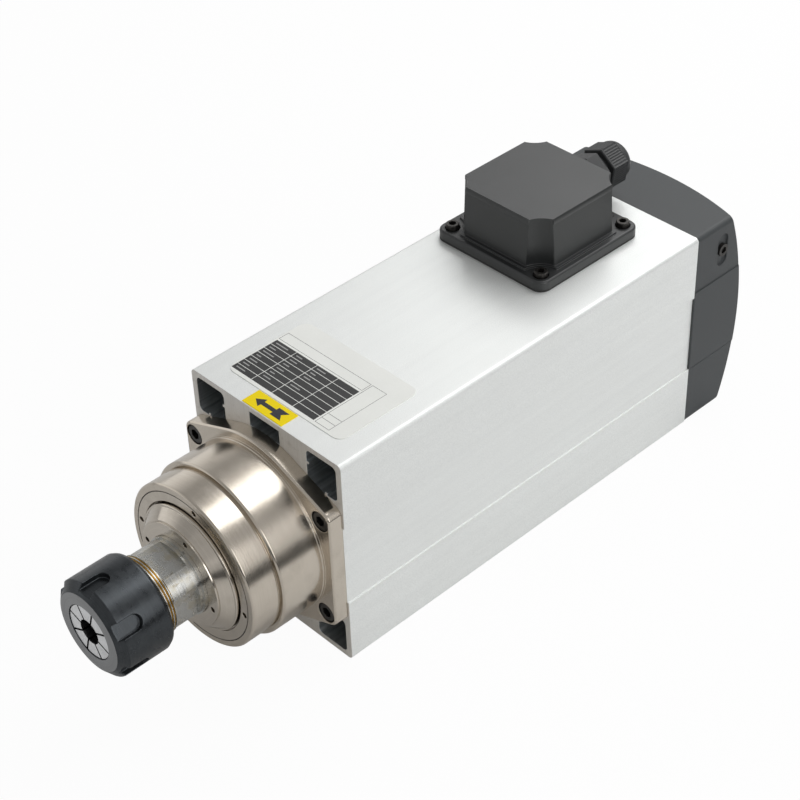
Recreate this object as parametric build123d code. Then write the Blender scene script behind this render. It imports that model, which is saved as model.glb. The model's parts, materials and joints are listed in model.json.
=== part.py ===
from build123d import *
import math
import os

# Motor spindle for a router: an air-cooled square motor body with a collet nose.
# Millimetres. +Z is up, the tool points along -Y, and X = Y = 0 is the middle of the bottom face.

# Motor body, one aluminium extrusion
HOUSING_WIDTH = 103.0
HOUSING_HEIGHT = 120.0
HOUSING_LENGTH = 246.0
HOUSING_EDGE_RADIUS = 2.5
HOUSING_BORE = 86.0
SIDE_BAND_HEIGHT = 46.0
SIDE_BAND_DEPTH = 1.0
DUCT_SIDE_WALL = 3.6
DUCT_TOP_WALL = 3.0
CORNER_DUCT_WIDTH = 19.4
CORNER_DUCT_HEIGHT = 19.5
DUCT_CORNER_RADIUS = 2.5
DUCT_FIN_HEIGHT = 1.4
DUCT_FIN_THICKNESS = 1.4
DUCT_FIN_SHIFT = 2.4
MIDDLE_DUCT_WIDTH = 20.4
MIDDLE_DUCT_HEIGHT = 8.0
MOUNT_HOLE = 6.8
MOUNT_HOLE_DEPTH = 14.0
MOUNT_SPACING_X = 38.0
MOUNT_SPACING_Y = 160.0
WIRING_HOLE = 12.0
FIT_GAP = 0.02
OVERRUN = 1.0
SOCKET_SHARE = 0.58
SOCKET_DEPTH_SHARE = 0.55

# Nose: the front bearing housing with its flange and four screws
FLANGE_THICKNESS = 7.8
FLANGE_RADIUS = 50.0
FLANGE_SIDE_SETBACK = 1.0
FLANGE_EDGE = 0.8
LUG_RADIUS = 7.0
LUG_SETBACK = 7.5
LUG_HEIGHT = 28.5
NOSE_REAR_RADIUS = 45.5
NOSE_REAR_LENGTH = 25.0
NOSE_FRONT_RADIUS = 43.0
NOSE_FRONT_LENGTH = 16.0
NOSE_EDGE = 0.8
NOSE_GROOVE_WIDTH = 1.0
NOSE_GROOVE_DEPTH = 0.8
ROOT_RING_LENGTH = 1.2
ROOT_RING_PROUD = 0.4
SPIGOT_LENGTH = 14.0
SHOULDER_BORE = 58.0
FLANGE_SCREW = 6.0
FLANGE_SCREW_HEAD = 10.0
FLANGE_SCREW_HEAD_HEIGHT = 6.0
FLANGE_SCREW_LENGTH = 20.0
COUNTERBORE_DEPTH = 6.4
HEAD_GAP = 0.4

# Front bearings, their spacers and the threaded retainer
BEARING_BORE = 45.0
BEARING_OUTSIDE = 75.0
BEARING_WIDTH = 16.0
BEARING_RING_WALL = 4.7
BALL_DIAMETER = 9.5
BALL_COUNT = 14
BALL_GAP = 0.25
CAGE_WALL = 2.4
CAGE_WIDTH = 12.0
SPACER_WIDTH = 6.0
SPACER_WALL = 3.0
RETAINER_RADIUS = 39.2
RETAINER_BORE = 68.0
RETAINER_THICKNESS = 6.0
PIN_HOLE = 2.8
PIN_HOLE_DEPTH = 3.5
PIN_HOLE_COUNT = 4
RETAINER_PIN_TURN = 80.0

# Labyrinth nut on the shaft
LABYRINTH_RADIUS = 33.2
LABYRINTH_RIM_STEP = 1.0
LABYRINTH_RIM_PROUD = 1.6
LABYRINTH_PROUD = 7.2
LABYRINTH_FACE_RADIUS = 27.0
LABYRINTH_SHOULDER = 0.8
LABYRINTH_SLEEVE_RADIUS = 26.6
LABYRINTH_DISC_DEPTH = 3.0
LABYRINTH_PIN_CIRCLE = 23.6
LABYRINTH_PIN_TURN = 72.5

# Shaft, from the labyrinth nut to the collet end
COLLAR_RADIUS = 20.2
COLLAR_LENGTH = 1.6
NECK_RADIUS = 19.4
NECK_LENGTH = 1.9
FLAT_DISTANCE = 16.9
FLATS_LENGTH = 13.4
FLAT_COUNT = 4
FLAT_TURN = -7.4
THREAD_RADIUS = 20.0
THREAD_PITCH = 1.5
THREAD_DEPTH = 0.92
THREAD_TURNS = 17
SHAFT_END_CHAMFER = 0.6
TOOL_POCKET_RADIUS = 9.5
TOOL_POCKET_DEPTH = 12.0

# Shaft, from the front bearings to the fan
SHOULDER_RADIUS = 26.5
SHOULDER_WIDTH = 7.0
ROTOR_SEAT_RADIUS = 20.0
REAR_STEP_RADIUS = 18.0
REAR_SEAT_RADIUS = 15.0
FAN_SEAT_RADIUS = 10.0
FAN_SEAT_LENGTH = 32.0

# Collet and collet nut
NUT_RADIUS = 25.0
NUT_LENGTH = 28.9
NUT_OVERHANG = 8.6
NUT_FACE_RADIUS = 20.5
NUT_CONE_LENGTH = 3.6
NUT_REAR_EDGE = 1.1
NUT_REAR_EDGE_LENGTH = 2.3
NUT_OPENING_RADIUS = 14.1
NUT_THREAD_GAP = 0.15
NUT_SLOT_COUNT = 6
NUT_SLOT_WIDTH = 8.0
NUT_SLOT_DEPTH = 3.0
NUT_SLOT_LENGTH = 14.9
NUT_SLOT_TURN = 31.0
COLLET_RECESS = 0.4
COLLET_LENGTH = 40.0
COLLET_BORE = 12.7
COLLET_FACE_RADIUS = 13.8
COLLET_FACE_LENGTH = 2.3
COLLET_FRONT_CONE_RADIUS = 16.0
COLLET_FRONT_CONE_ANGLE = 30.0
COLLET_GROOVE_RADIUS = 14.8
COLLET_GROOVE_WIDTH = 1.7
COLLET_RADIUS = 16.5
COLLET_TAPER_ANGLE = 8.0
COLLET_SLIT = 1.0
COLLET_SLIT_COUNT = 8
COLLET_SLIT_TURN = 27.0
COLLET_SLIT_LAND = 6.0
COLLET_SEAT_GAP = 0.06
NUT_CONE_GAP = 0.1
NUT_LIP_GAP = 0.3

# Stator and rotor
STATOR_LENGTH = 120.0
STATOR_FRONT = 44.0
STATOR_INSIDE = 56.0
STATOR_SLOTS = 24
SLOT_WIDTH = 4.4
SLOT_BOTTOM_RADIUS = 38.0
SLOT_TOP_RADIUS = 31.0
SLOT_OPENING = 1.6
WINDING_GAP = 0.25
WINDING_OVERHANG = 23.0
WINDING_END_GAP = 1.5
WINDING_INSIDE_RADIUS = 30.0
WINDING_OUTSIDE_RADIUS = 41.0
AIR_GAP = 0.5
ROTOR_BARS = 20
ROTOR_BAR_RADIUS = 1.7
ROTOR_BAR_INSET = 2.6
ROTOR_BAR_GAP = 0.05
ROTOR_RING_LENGTH = 8.0
ROTOR_RING_WALL = 6.0

# Rear bearing and its housing
REAR_BEARING_OUTSIDE = 62.0
REAR_BEARING_WIDTH = 16.0
REAR_RING_WALL = 4.2
REAR_BALL_DIAMETER = 9.0
REAR_BALL_COUNT = 9
REAR_FLANGE_THICKNESS = 6.5
REAR_FLANGE_RADIUS = 48.5
REAR_LUG_SETBACK = 9.5
REAR_SPIGOT_LENGTH = 24.0
REAR_SEAT_WALL = 4.0
REAR_WEB = 3.0
SPRING_THICKNESS = 1.0
SPRING_WAVE = 0.8
SPRING_PADS = 3
SPRING_PAD_SHARE = 0.7
LOCK_NUT_RADIUS = 22.0
LOCK_NUT_WIDTH = 8.0
LOCK_NUT_SLOT = 5.0
LOCK_NUT_SLOT_COUNT = 4
LOCK_NUT_SLOT_TURN = 45.0
SHIELD_BORE_GAP = 2.0

# Cooling fan
FAN_TIP_GAP = 1.8
FAN_HUB_RADIUS = 15.0
FAN_BACK_THICKNESS = 2.0
FAN_WIDTH = 17.0
FAN_BLADES = 9
FAN_BLADE_THICKNESS = 1.8
FAN_BLADE_DROP = 20.0
FAN_START = 11.0
KEY_WIDTH = 5.0
KEY_HEIGHT = 5.0
KEY_LENGTH = 12.0
KEY_GAP = 0.05
CIRCLIP_THICKNESS = 1.2
CIRCLIP_WALL = 3.0

# Fan cover
COVER_SETBACK = 0.2
COVER_WALL = 2.8
COVER_DOME_RADIUS = 175.0
COVER_LENGTH = 46.1
COVER_EDGE_RADIUS = 3.0
COVER_INNER_RADIUS = 0.5
COVER_BAND_HEIGHT = 49.4
COVER_BAND_LIFT = 1.5
COVER_BAND_PROUD = 0.4
GRILLE_FIRST_RADIUS = 15.0
GRILLE_SLOT = 3.2
GRILLE_PITCH = 5.6
GRILLE_RINGS = 6
GRILLE_SPOKES = 6
GRILLE_SPOKE_WIDTH = 5.0
COVER_SCREW = 4.0
COVER_SCREW_HEAD = 7.0
COVER_SCREW_HEAD_HEIGHT = 2.0
COVER_SCREW_LENGTH = 6.5
COVER_SCREW_HEIGHT = 43.0
COVER_SCREW_BACK = 21.0
COVER_POCKET_WIDTH = 7.6
COVER_POCKET_HEIGHT = 19.0
COVER_POCKET_DEPTH = 1.3
BRACKET_THICKNESS = 3.6
BRACKET_WIDTH = 8.0
BRACKET_GAP = 0.2

# Junction box on top, near the rear
BOX_OFFSET_X = -9.4
BOX_FROM_REAR = 54.0
BOX_FLANGE = 73.4
BOX_FLANGE_THICKNESS = 5.0
BOX_FLANGE_CORNER = 6.0
BOX_FLANGE_EDGE = 0.8
BOX_PLINTH = 1.5
BOX_PLINTH_HEIGHT = 1.0
BOX_HEIGHT = 33.5
BOX_TOP = 59.0
BOX_BASE = 63.5
BOX_CORNER_ARC = 14.0
BOX_CORNER_CENTRE = 34.6
BOX_LID_DEPTH = 3.0
BOX_LID_PROUD = 0.5
BOX_LID_EDGE = 0.8
BOX_WALL = 2.6
BOX_SCREW_SPACING = 60.6
BOX_SCREW_SINK = 1.5
BOX_SCREW = 4.0
BOX_SCREW_HEAD = 7.0
BOX_SCREW_HEAD_HEIGHT = 4.0
BOX_SCREW_LENGTH = 8.0
GASKET_THICKNESS = 1.0
GASKET_WIDTH = 6.0

# Terminal block, earth screw and leads inside the box
TERMINAL_LENGTH = 42.0
TERMINAL_WIDTH = 15.0
TERMINAL_BASE_HEIGHT = 9.0
TERMINAL_HEIGHT = 12.0
TERMINAL_LEG = 4.0
TERMINAL_PITCH = 11.0
TERMINAL_SCREW = 4.0
TERMINAL_SCREW_HEAD = 7.0
EARTH_SCREW = 4.0
EARTH_OFFSET_X = 23.6
EARTH_OFFSET_Y = -17.0
LEAD_COUNT = 3
LEAD_DIAMETER = 2.4
LEAD_PITCH = 3.0
LEAD_BEND = 12.0
LEAD_OFFSET_X = -10.8
LEAD_OFFSET_Y = 11.0

# Cable gland on the back of the box
GLAND_HEIGHT = 19.2
GLAND_TURN = -7.0
GLAND_BOSS_RADIUS = 11.8
GLAND_BOSS_PROUD = 0.7
GLAND_HEX = 20.0
GLAND_HEX_LENGTH = 8.3
GLAND_THREAD_RADIUS = 8.0
GLAND_BORE_RADIUS = 6.4
GLAND_NECK_LENGTH = 9.0
GLAND_GAP = 2.8
GLAND_COLLAR = 2.0
GLAND_COLLAR_RADIUS = 11.4
GLAND_NUT_HEX = 21.0
GLAND_NUT_HEX_LENGTH = 11.5
GLAND_NUT_DOME_LENGTH = 4.5
GLAND_DOME_EDGE = 1.0
GLAND_DOME_INSET = 0.9
GLAND_DOME_SHARE = 0.72
GLAND_NUT_WALL = 1.6
GLAND_NUT_THREAD_GAP = 0.12
GLAND_MOUTH_RADIUS = 5.8
GLAND_LOCKNUT_HEX = 19.0
GLAND_LOCKNUT_THICKNESS = 4.5
GLAND_THREAD_END = 1.1
SEAL_BORE_RADIUS = 5.0
SEAL_LENGTH = 8.0
SEAL_HEAD_RADIUS = 7.2
SEAL_HEAD_LENGTH = 1.6
SEAL_GAP = 0.3
O_RING_SECTION = 0.8

# Labels on top, near the front
PLATE_WIDTH = 78.0
PLATE_LENGTH = 50.0
PLATE_THICKNESS = 0.3
PLATE_CORNER = 5.0
PLATE_OFFSET_X = -0.5
PLATE_LABEL_GAP = 0.6
ARROW_LABEL_WIDTH = 27.0
ARROW_LABEL_LENGTH = 10.4
ARROW_LABEL_OFFSET_X = -2.0
ARROW_LABEL_FROM_FRONT = 5.9

# Places along the spindle axis, worked out from the sizes above
AXIS_HEIGHT = HOUSING_HEIGHT / 2
FRONT = -HOUSING_LENGTH / 2
REAR = HOUSING_LENGTH / 2
PLATE_FRONT = FRONT + ARROW_LABEL_FROM_FRONT + ARROW_LABEL_LENGTH / 2 + PLATE_LABEL_GAP
FLANGE_FACE = FRONT - FLANGE_THICKNESS
NOSE_STEP = FLANGE_FACE - NOSE_REAR_LENGTH
NOSE_FACE = NOSE_STEP - NOSE_FRONT_LENGTH
BEARING_A = NOSE_FACE + RETAINER_THICKNESS
BEARING_B = BEARING_A + BEARING_WIDTH + SPACER_WIDTH
BEARING_STOP = BEARING_B + BEARING_WIDTH
LABYRINTH_FACE = NOSE_FACE - LABYRINTH_PROUD
COLLAR_END = LABYRINTH_FACE - COLLAR_LENGTH
FLATS_REAR = COLLAR_END - NECK_LENGTH
THREAD_REAR = FLATS_REAR - FLATS_LENGTH
SHAFT_END = THREAD_REAR - THREAD_TURNS * THREAD_PITCH - SHAFT_END_CHAMFER
NUT_FACE = SHAFT_END - NUT_OVERHANG
NUT_REAR = NUT_FACE + NUT_LENGTH
COLLET_FACE = NUT_FACE + COLLET_RECESS
COLLET_REAR = COLLET_FACE + COLLET_LENGTH
STATOR_START = FRONT + STATOR_FRONT
STATOR_END = STATOR_START + STATOR_LENGTH
LEAD_END = STATOR_END + WINDING_OVERHANG
REAR_BEARING = REAR - REAR_SPIGOT_LENGTH
REAR_BEARING_END = REAR_BEARING + REAR_BEARING_WIDTH
SHIELD_FACE = REAR + REAR_FLANGE_THICKNESS
FAN_BACK = REAR + FAN_START
CIRCLIP_PLACE = FAN_BACK + FAN_WIDTH
SHAFT_REAR = REAR_BEARING_END + LOCK_NUT_WIDTH + FAN_SEAT_LENGTH
BOX_CENTRE_Y = REAR - BOX_FROM_REAR
BOX_FLOOR = HOUSING_HEIGHT + GASKET_THICKNESS
FLANGE_TOP = BOX_FLOOR + BOX_FLANGE_THICKNESS
GLAND_AXIS = HOUSING_HEIGHT + GLAND_HEIGHT
LUG_X = HOUSING_WIDTH / 2 - LUG_SETBACK
REAR_LUG_X = HOUSING_WIDTH / 2 - REAR_LUG_SETBACK
COVER_HALF_WIDTH = HOUSING_WIDTH / 2 - COVER_SETBACK
COVER_HALF_HEIGHT = HOUSING_HEIGHT / 2 - COVER_SETBACK
FAN_RADIUS = math.hypot(REAR_LUG_X, LUG_HEIGHT) - FLANGE_SCREW_HEAD / 2 - FAN_TIP_GAP
SHAFT_BEARING_RADIUS = BEARING_BORE / 2 - FIT_GAP
REAR_BEARING_BORE = 2 * (REAR_SEAT_RADIUS + FIT_GAP)


def turned(points):
    """Turns a closed outline of (place along the axis, radius) points about the spindle axis."""
    outline = make_face(Polyline(*[(radius, place) for place, radius in points], close=True))
    return Pos(0, 0, AXIS_HEIGHT) * revolve(outline, axis=Axis.Y, revolution_arc=360)


def sleeve(start, end, inside, outside):
    """A plain ring about the spindle axis."""
    return turned([(start, inside), (start, outside), (end, outside), (end, inside)])


def rod(radius, start, end, x=0.0, z=AXIS_HEIGHT):
    """A cylinder along Y between two places."""
    bar = Cylinder(radius, end - start, align=(Align.CENTER, Align.CENTER, Align.MIN))
    return Pos(x, start, z) * Rot(-90, 0, 0) * bar


def slab(sketch, start, end):
    """Extrudes a sketch of (x, height above the axis) along Y between two places."""
    return Pos(0, end, AXIS_HEIGHT) * extrude(Plane.XZ * sketch, amount=end - start)


def around(shape, count, turn=0.0, x=0.0, z=AXIS_HEIGHT):
    """Copies of a shape at equal angles about an axis along Y, starting at the given angle."""
    step = 360 / count
    centred = Pos(-x, 0, -z) * shape
    return [Pos(x, 0, z) * Rot(0, -(turn + step * i), 0) * centred for i in range(count)]


def cap_screw(shank, head, head_height, length):
    """A socket-head screw on Z: the head stands on z = 0 and the shank goes down."""
    bottom = (Align.CENTER, Align.CENTER, Align.MIN)
    top = (Align.CENTER, Align.CENTER, Align.MAX)
    screw = Cylinder(head / 2, head_height, align=bottom) + Cylinder(shank / 2, length, align=top)
    hexagon_radius = head / 2 * SOCKET_SHARE
    depth = head_height * SOCKET_DEPTH_SHARE
    socket = Pos(0, 0, head_height) * extrude(RegularPolygon(hexagon_radius, 6), amount=-depth)
    return screw - socket


def torus_race(place, centre_radius, ball_radius):
    """The round groove that a row of balls rolls in."""
    return Pos(0, place, AXIS_HEIGHT) * Rot(90, 0, 0) * Torus(centre_radius, ball_radius)


def ball_row(place, centre_radius, count, diameter):
    """One row of bearing balls."""
    ball = Pos(centre_radius, place, AXIS_HEIGHT) * Sphere(diameter / 2)
    return around(ball, count)


def bearing_rings(start, width, bore, outside, wall, diameter):
    """The inner and outer ring of one ball bearing, with their grooves."""
    middle = start + width / 2
    centre_radius = (bore + outside) / 4
    groove = torus_race(middle, centre_radius, diameter / 2 + BALL_GAP)
    inner = sleeve(start, start + width, bore / 2, bore / 2 + wall) - groove
    outer_radius = outside / 2 - FIT_GAP
    outer = sleeve(start, start + width, outside / 2 - wall, outer_radius) - groove
    return inner, outer


def cage(middle, bore, outside, count, diameter):
    """The ring that keeps the balls apart, with a pocket for each."""
    centre_radius = (bore + outside) / 4
    low = middle - CAGE_WIDTH / 2
    ring = sleeve(low, low + CAGE_WIDTH, centre_radius - CAGE_WALL / 2, centre_radius + CAGE_WALL / 2)
    drill = Cylinder(diameter / 2 + BALL_GAP, 4 * CAGE_WALL)
    pocket = Pos(centre_radius, middle, AXIS_HEIGHT) * Rot(0, 90, 0) * drill
    return ring - around(pocket, count)


def lug_outline(radius, lug_x, half_width, inset=0.0):
    """A round flange with a lug at each of four screws and flat sides, taken in by an inset."""
    edges = Circle(radius - inset).edges()
    for x in (-lug_x, lug_x):
        for z in (-LUG_HEIGHT, LUG_HEIGHT):
            edges += (Pos(x, z) * Circle(LUG_RADIUS - inset)).edges()
    return make_hull(edges) & Rectangle(2 * (half_width - inset), 4 * radius)


def upright_face(sketch, place):
    """The face of a sketch of (x, height above the axis), stood upright at a place along Y."""
    return (Pos(0, place, AXIS_HEIGHT) * (Plane.XZ * sketch)).faces()[0]


def at_lugs(shape, lug_x):
    """A shape on the spindle axis, copied to four lug screws."""
    return [Pos(x, 0, z) * shape for x in (-lug_x, lug_x) for z in (-LUG_HEIGHT, LUG_HEIGHT)]


def corner_duct():
    """The air duct in the upper right corner, with its cooling fins, as (x, height) sketch."""
    right = HOUSING_WIDTH / 2 - DUCT_SIDE_WALL
    top = HOUSING_HEIGHT / 2 - DUCT_TOP_WALL
    middle_x = right - CORNER_DUCT_WIDTH / 2
    middle_z = top - CORNER_DUCT_HEIGHT / 2
    opening = Pos(middle_x, middle_z) * RectangleRounded(
        CORNER_DUCT_WIDTH, CORNER_DUCT_HEIGHT, DUCT_CORNER_RADIUS
    )
    inner_fin = Pos(right - CORNER_DUCT_WIDTH, middle_z + DUCT_FIN_SHIFT) * Rectangle(
        2 * DUCT_FIN_HEIGHT, DUCT_FIN_THICKNESS
    )
    floor_fin = Pos(middle_x + DUCT_FIN_SHIFT, top - CORNER_DUCT_HEIGHT) * Rectangle(
        DUCT_FIN_THICKNESS, 2 * DUCT_FIN_HEIGHT
    )
    return opening - inner_fin - floor_fin


def earth_place():
    """Where the earth screw stands on the body, inside the junction box."""
    return Pos(BOX_OFFSET_X + EARTH_OFFSET_X, BOX_CENTRE_Y + EARTH_OFFSET_Y, HOUSING_HEIGHT)


def box_places():
    """The four screw places of the junction box."""
    half = BOX_SCREW_SPACING / 2
    return [(BOX_OFFSET_X + x, BOX_CENTRE_Y + y) for x in (-half, half) for y in (-half, half)]


def housing_extrusion():
    body = slab(RectangleRounded(HOUSING_WIDTH, HOUSING_HEIGHT, HOUSING_EDGE_RADIUS), FRONT, REAR)
    side_band = Rectangle(2 * SIDE_BAND_DEPTH, SIDE_BAND_HEIGHT)
    cuts = [Pos(x, 0) * side_band for x in (-HOUSING_WIDTH / 2, HOUSING_WIDTH / 2)]
    upper_duct = corner_duct()
    lower_duct = mirror(upper_duct, Plane.XZ)
    cuts += [upper_duct, lower_duct, mirror(upper_duct, Plane.YZ), mirror(lower_duct, Plane.YZ)]
    middle_z = HOUSING_HEIGHT / 2 - DUCT_TOP_WALL - MIDDLE_DUCT_HEIGHT / 2
    middle_duct = Rectangle(MIDDLE_DUCT_WIDTH, MIDDLE_DUCT_HEIGHT)
    cuts += [Pos(0, z) * middle_duct for z in (-middle_z, middle_z)]
    cuts += [Circle(HOUSING_BORE / 2)]
    for cut in cuts:
        body -= slab(cut, FRONT, REAR)
    body -= at_lugs(rod(FLANGE_SCREW / 2, FRONT, FRONT + FLANGE_SCREW_LENGTH), LUG_X)
    body -= at_lugs(rod(FLANGE_SCREW / 2, REAR - FLANGE_SCREW_LENGTH, REAR), REAR_LUG_X)
    up = (Align.CENTER, Align.CENTER, Align.MIN)
    down = (Align.CENTER, Align.CENTER, Align.MAX)
    for x in (-MOUNT_SPACING_X / 2, MOUNT_SPACING_X / 2):
        for y in (-MOUNT_SPACING_Y / 2, MOUNT_SPACING_Y / 2):
            body -= Pos(x, y, 0) * Cylinder(MOUNT_HOLE / 2, MOUNT_HOLE_DEPTH, align=up)
    screw_depth = BOX_SCREW_LENGTH - (FLANGE_TOP - BOX_SCREW_SINK - HOUSING_HEIGHT)
    for x, y in box_places():
        body -= Pos(x, y, HOUSING_HEIGHT) * Cylinder(BOX_SCREW / 2, screw_depth, align=down)
    wiring_hole = Cylinder(WIRING_HOLE / 2, HOUSING_HEIGHT / 2, align=down)
    body -= Pos(BOX_OFFSET_X + LEAD_OFFSET_X, BOX_CENTRE_Y + LEAD_OFFSET_Y, HOUSING_HEIGHT) * wiring_hole
    return body - earth_place() * Cylinder(EARTH_SCREW / 2, 2 * EARTH_SCREW, align=down)


def front_bearing_housing():
    half_width = HOUSING_WIDTH / 2 - FLANGE_SIDE_SETBACK
    outline = lug_outline(FLANGE_RADIUS, LUG_X, half_width)
    small_outline = lug_outline(FLANGE_RADIUS, LUG_X, half_width, FLANGE_EDGE)
    edge_end = FLANGE_FACE + FLANGE_EDGE
    flange = slab(outline, edge_end, FRONT)
    edge_faces = [upright_face(small_outline, FLANGE_FACE), upright_face(outline, edge_end)]
    flange += loft(edge_faces, ruled=True)
    flange -= rod(NOSE_REAR_RADIUS - NOSE_EDGE, FLANGE_FACE, FRONT)
    seat = BEARING_OUTSIDE / 2
    shoulder = SHOULDER_BORE / 2
    groove_radius = NOSE_FRONT_RADIUS - NOSE_GROOVE_DEPTH
    body = turned([
        (NOSE_FACE, RETAINER_RADIUS + FIT_GAP),
        (NOSE_FACE, NOSE_FRONT_RADIUS - NOSE_EDGE),
        (NOSE_FACE + NOSE_EDGE, NOSE_FRONT_RADIUS),
        (NOSE_STEP - NOSE_GROOVE_WIDTH, NOSE_FRONT_RADIUS),
        (NOSE_STEP - NOSE_GROOVE_WIDTH, groove_radius),
        (NOSE_STEP, groove_radius),
        (NOSE_STEP, NOSE_REAR_RADIUS - NOSE_EDGE),
        (NOSE_STEP + NOSE_EDGE, NOSE_REAR_RADIUS),
        (FLANGE_FACE - ROOT_RING_LENGTH, NOSE_REAR_RADIUS),
        (FLANGE_FACE - ROOT_RING_LENGTH, NOSE_REAR_RADIUS + ROOT_RING_PROUD),
        (FRONT, NOSE_REAR_RADIUS + ROOT_RING_PROUD),
        (FRONT, HOUSING_BORE / 2 - FIT_GAP),
        (FRONT + SPIGOT_LENGTH, HOUSING_BORE / 2 - FIT_GAP),
        (FRONT + SPIGOT_LENGTH, shoulder),
        (BEARING_STOP, shoulder),
        (BEARING_STOP, seat),
        (BEARING_A, seat),
        (BEARING_A, RETAINER_RADIUS + FIT_GAP),
    ])
    body += flange
    body -= at_lugs(rod(FLANGE_SCREW / 2 + HEAD_GAP, FLANGE_FACE, FRONT), LUG_X)
    head_hole = FLANGE_SCREW_HEAD / 2 + HEAD_GAP
    return body - at_lugs(rod(head_hole, FLANGE_FACE, FLANGE_FACE + COUNTERBORE_DEPTH), LUG_X)


def flange_screws(seat_place, lug_x, turn):
    """Four socket-head screws at the lugs; the turn about X points their heads along Y."""
    screw = cap_screw(FLANGE_SCREW, FLANGE_SCREW_HEAD, FLANGE_SCREW_HEAD_HEIGHT, FLANGE_SCREW_LENGTH)
    return at_lugs(Pos(0, seat_place, AXIS_HEIGHT) * Rot(turn, 0, 0) * screw, lug_x)


def bearing_retainer_ring():
    inside = RETAINER_BORE / 2
    ring = sleeve(NOSE_FACE, BEARING_A, inside, RETAINER_RADIUS)
    pin = rod(PIN_HOLE / 2, NOSE_FACE, NOSE_FACE + PIN_HOLE_DEPTH, x=(inside + RETAINER_RADIUS) / 2)
    return ring - around(pin, PIN_HOLE_COUNT, RETAINER_PIN_TURN)


def labyrinth_nut():
    inside = COLLAR_RADIUS + FIT_GAP
    rim_face = NOSE_FACE - LABYRINTH_RIM_PROUD
    shoulder = LABYRINTH_FACE_RADIUS + LABYRINTH_SHOULDER
    disc_back = NOSE_FACE + LABYRINTH_DISC_DEPTH
    nut = turned([
        (LABYRINTH_FACE, inside),
        (LABYRINTH_FACE, LABYRINTH_FACE_RADIUS),
        (LABYRINTH_FACE + LABYRINTH_SHOULDER, LABYRINTH_FACE_RADIUS),
        (LABYRINTH_FACE + LABYRINTH_SHOULDER, shoulder),
        (rim_face, LABYRINTH_RADIUS - LABYRINTH_RIM_STEP),
        (rim_face, LABYRINTH_RADIUS - LABYRINTH_RIM_STEP / 2),
        (rim_face + LABYRINTH_RIM_STEP / 2, LABYRINTH_RADIUS),
        (disc_back, LABYRINTH_RADIUS),
        (disc_back, LABYRINTH_SLEEVE_RADIUS),
        (BEARING_A, LABYRINTH_SLEEVE_RADIUS),
        (BEARING_A, inside),
    ])
    pin = rod(PIN_HOLE / 2, LABYRINTH_FACE, LABYRINTH_FACE + PIN_HOLE_DEPTH, x=LABYRINTH_PIN_CIRCLE)
    return nut - around(pin, PIN_HOLE_COUNT, LABYRINTH_PIN_TURN)


def thread_profile():
    """The outline of the nose thread as rings, from its rear end to the shaft's end."""
    points = []
    root = THREAD_RADIUS - THREAD_DEPTH
    crest = THREAD_PITCH / 8
    for turn in range(THREAD_TURNS):
        place = THREAD_REAR - turn * THREAD_PITCH
        points += [(place, root), (place - THREAD_PITCH / 2 + crest, THREAD_RADIUS)]
        points += [(place - THREAD_PITCH / 2 - crest, THREAD_RADIUS)]
    return points + [(SHAFT_END + SHAFT_END_CHAMFER, root), (SHAFT_END, root - SHAFT_END_CHAMFER)]


def collet_taper(place):
    """Radius of the collet's long taper at a place along the axis."""
    large_end = COLLET_FACE + COLLET_FACE_LENGTH + front_cone_length() + COLLET_GROOVE_WIDTH
    return COLLET_RADIUS - (place - large_end) * math.tan(math.radians(COLLET_TAPER_ANGLE))


def front_cone_length():
    rise = COLLET_FRONT_CONE_RADIUS - COLLET_FACE_RADIUS
    return rise / math.tan(math.radians(COLLET_FRONT_CONE_ANGLE))


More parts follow.
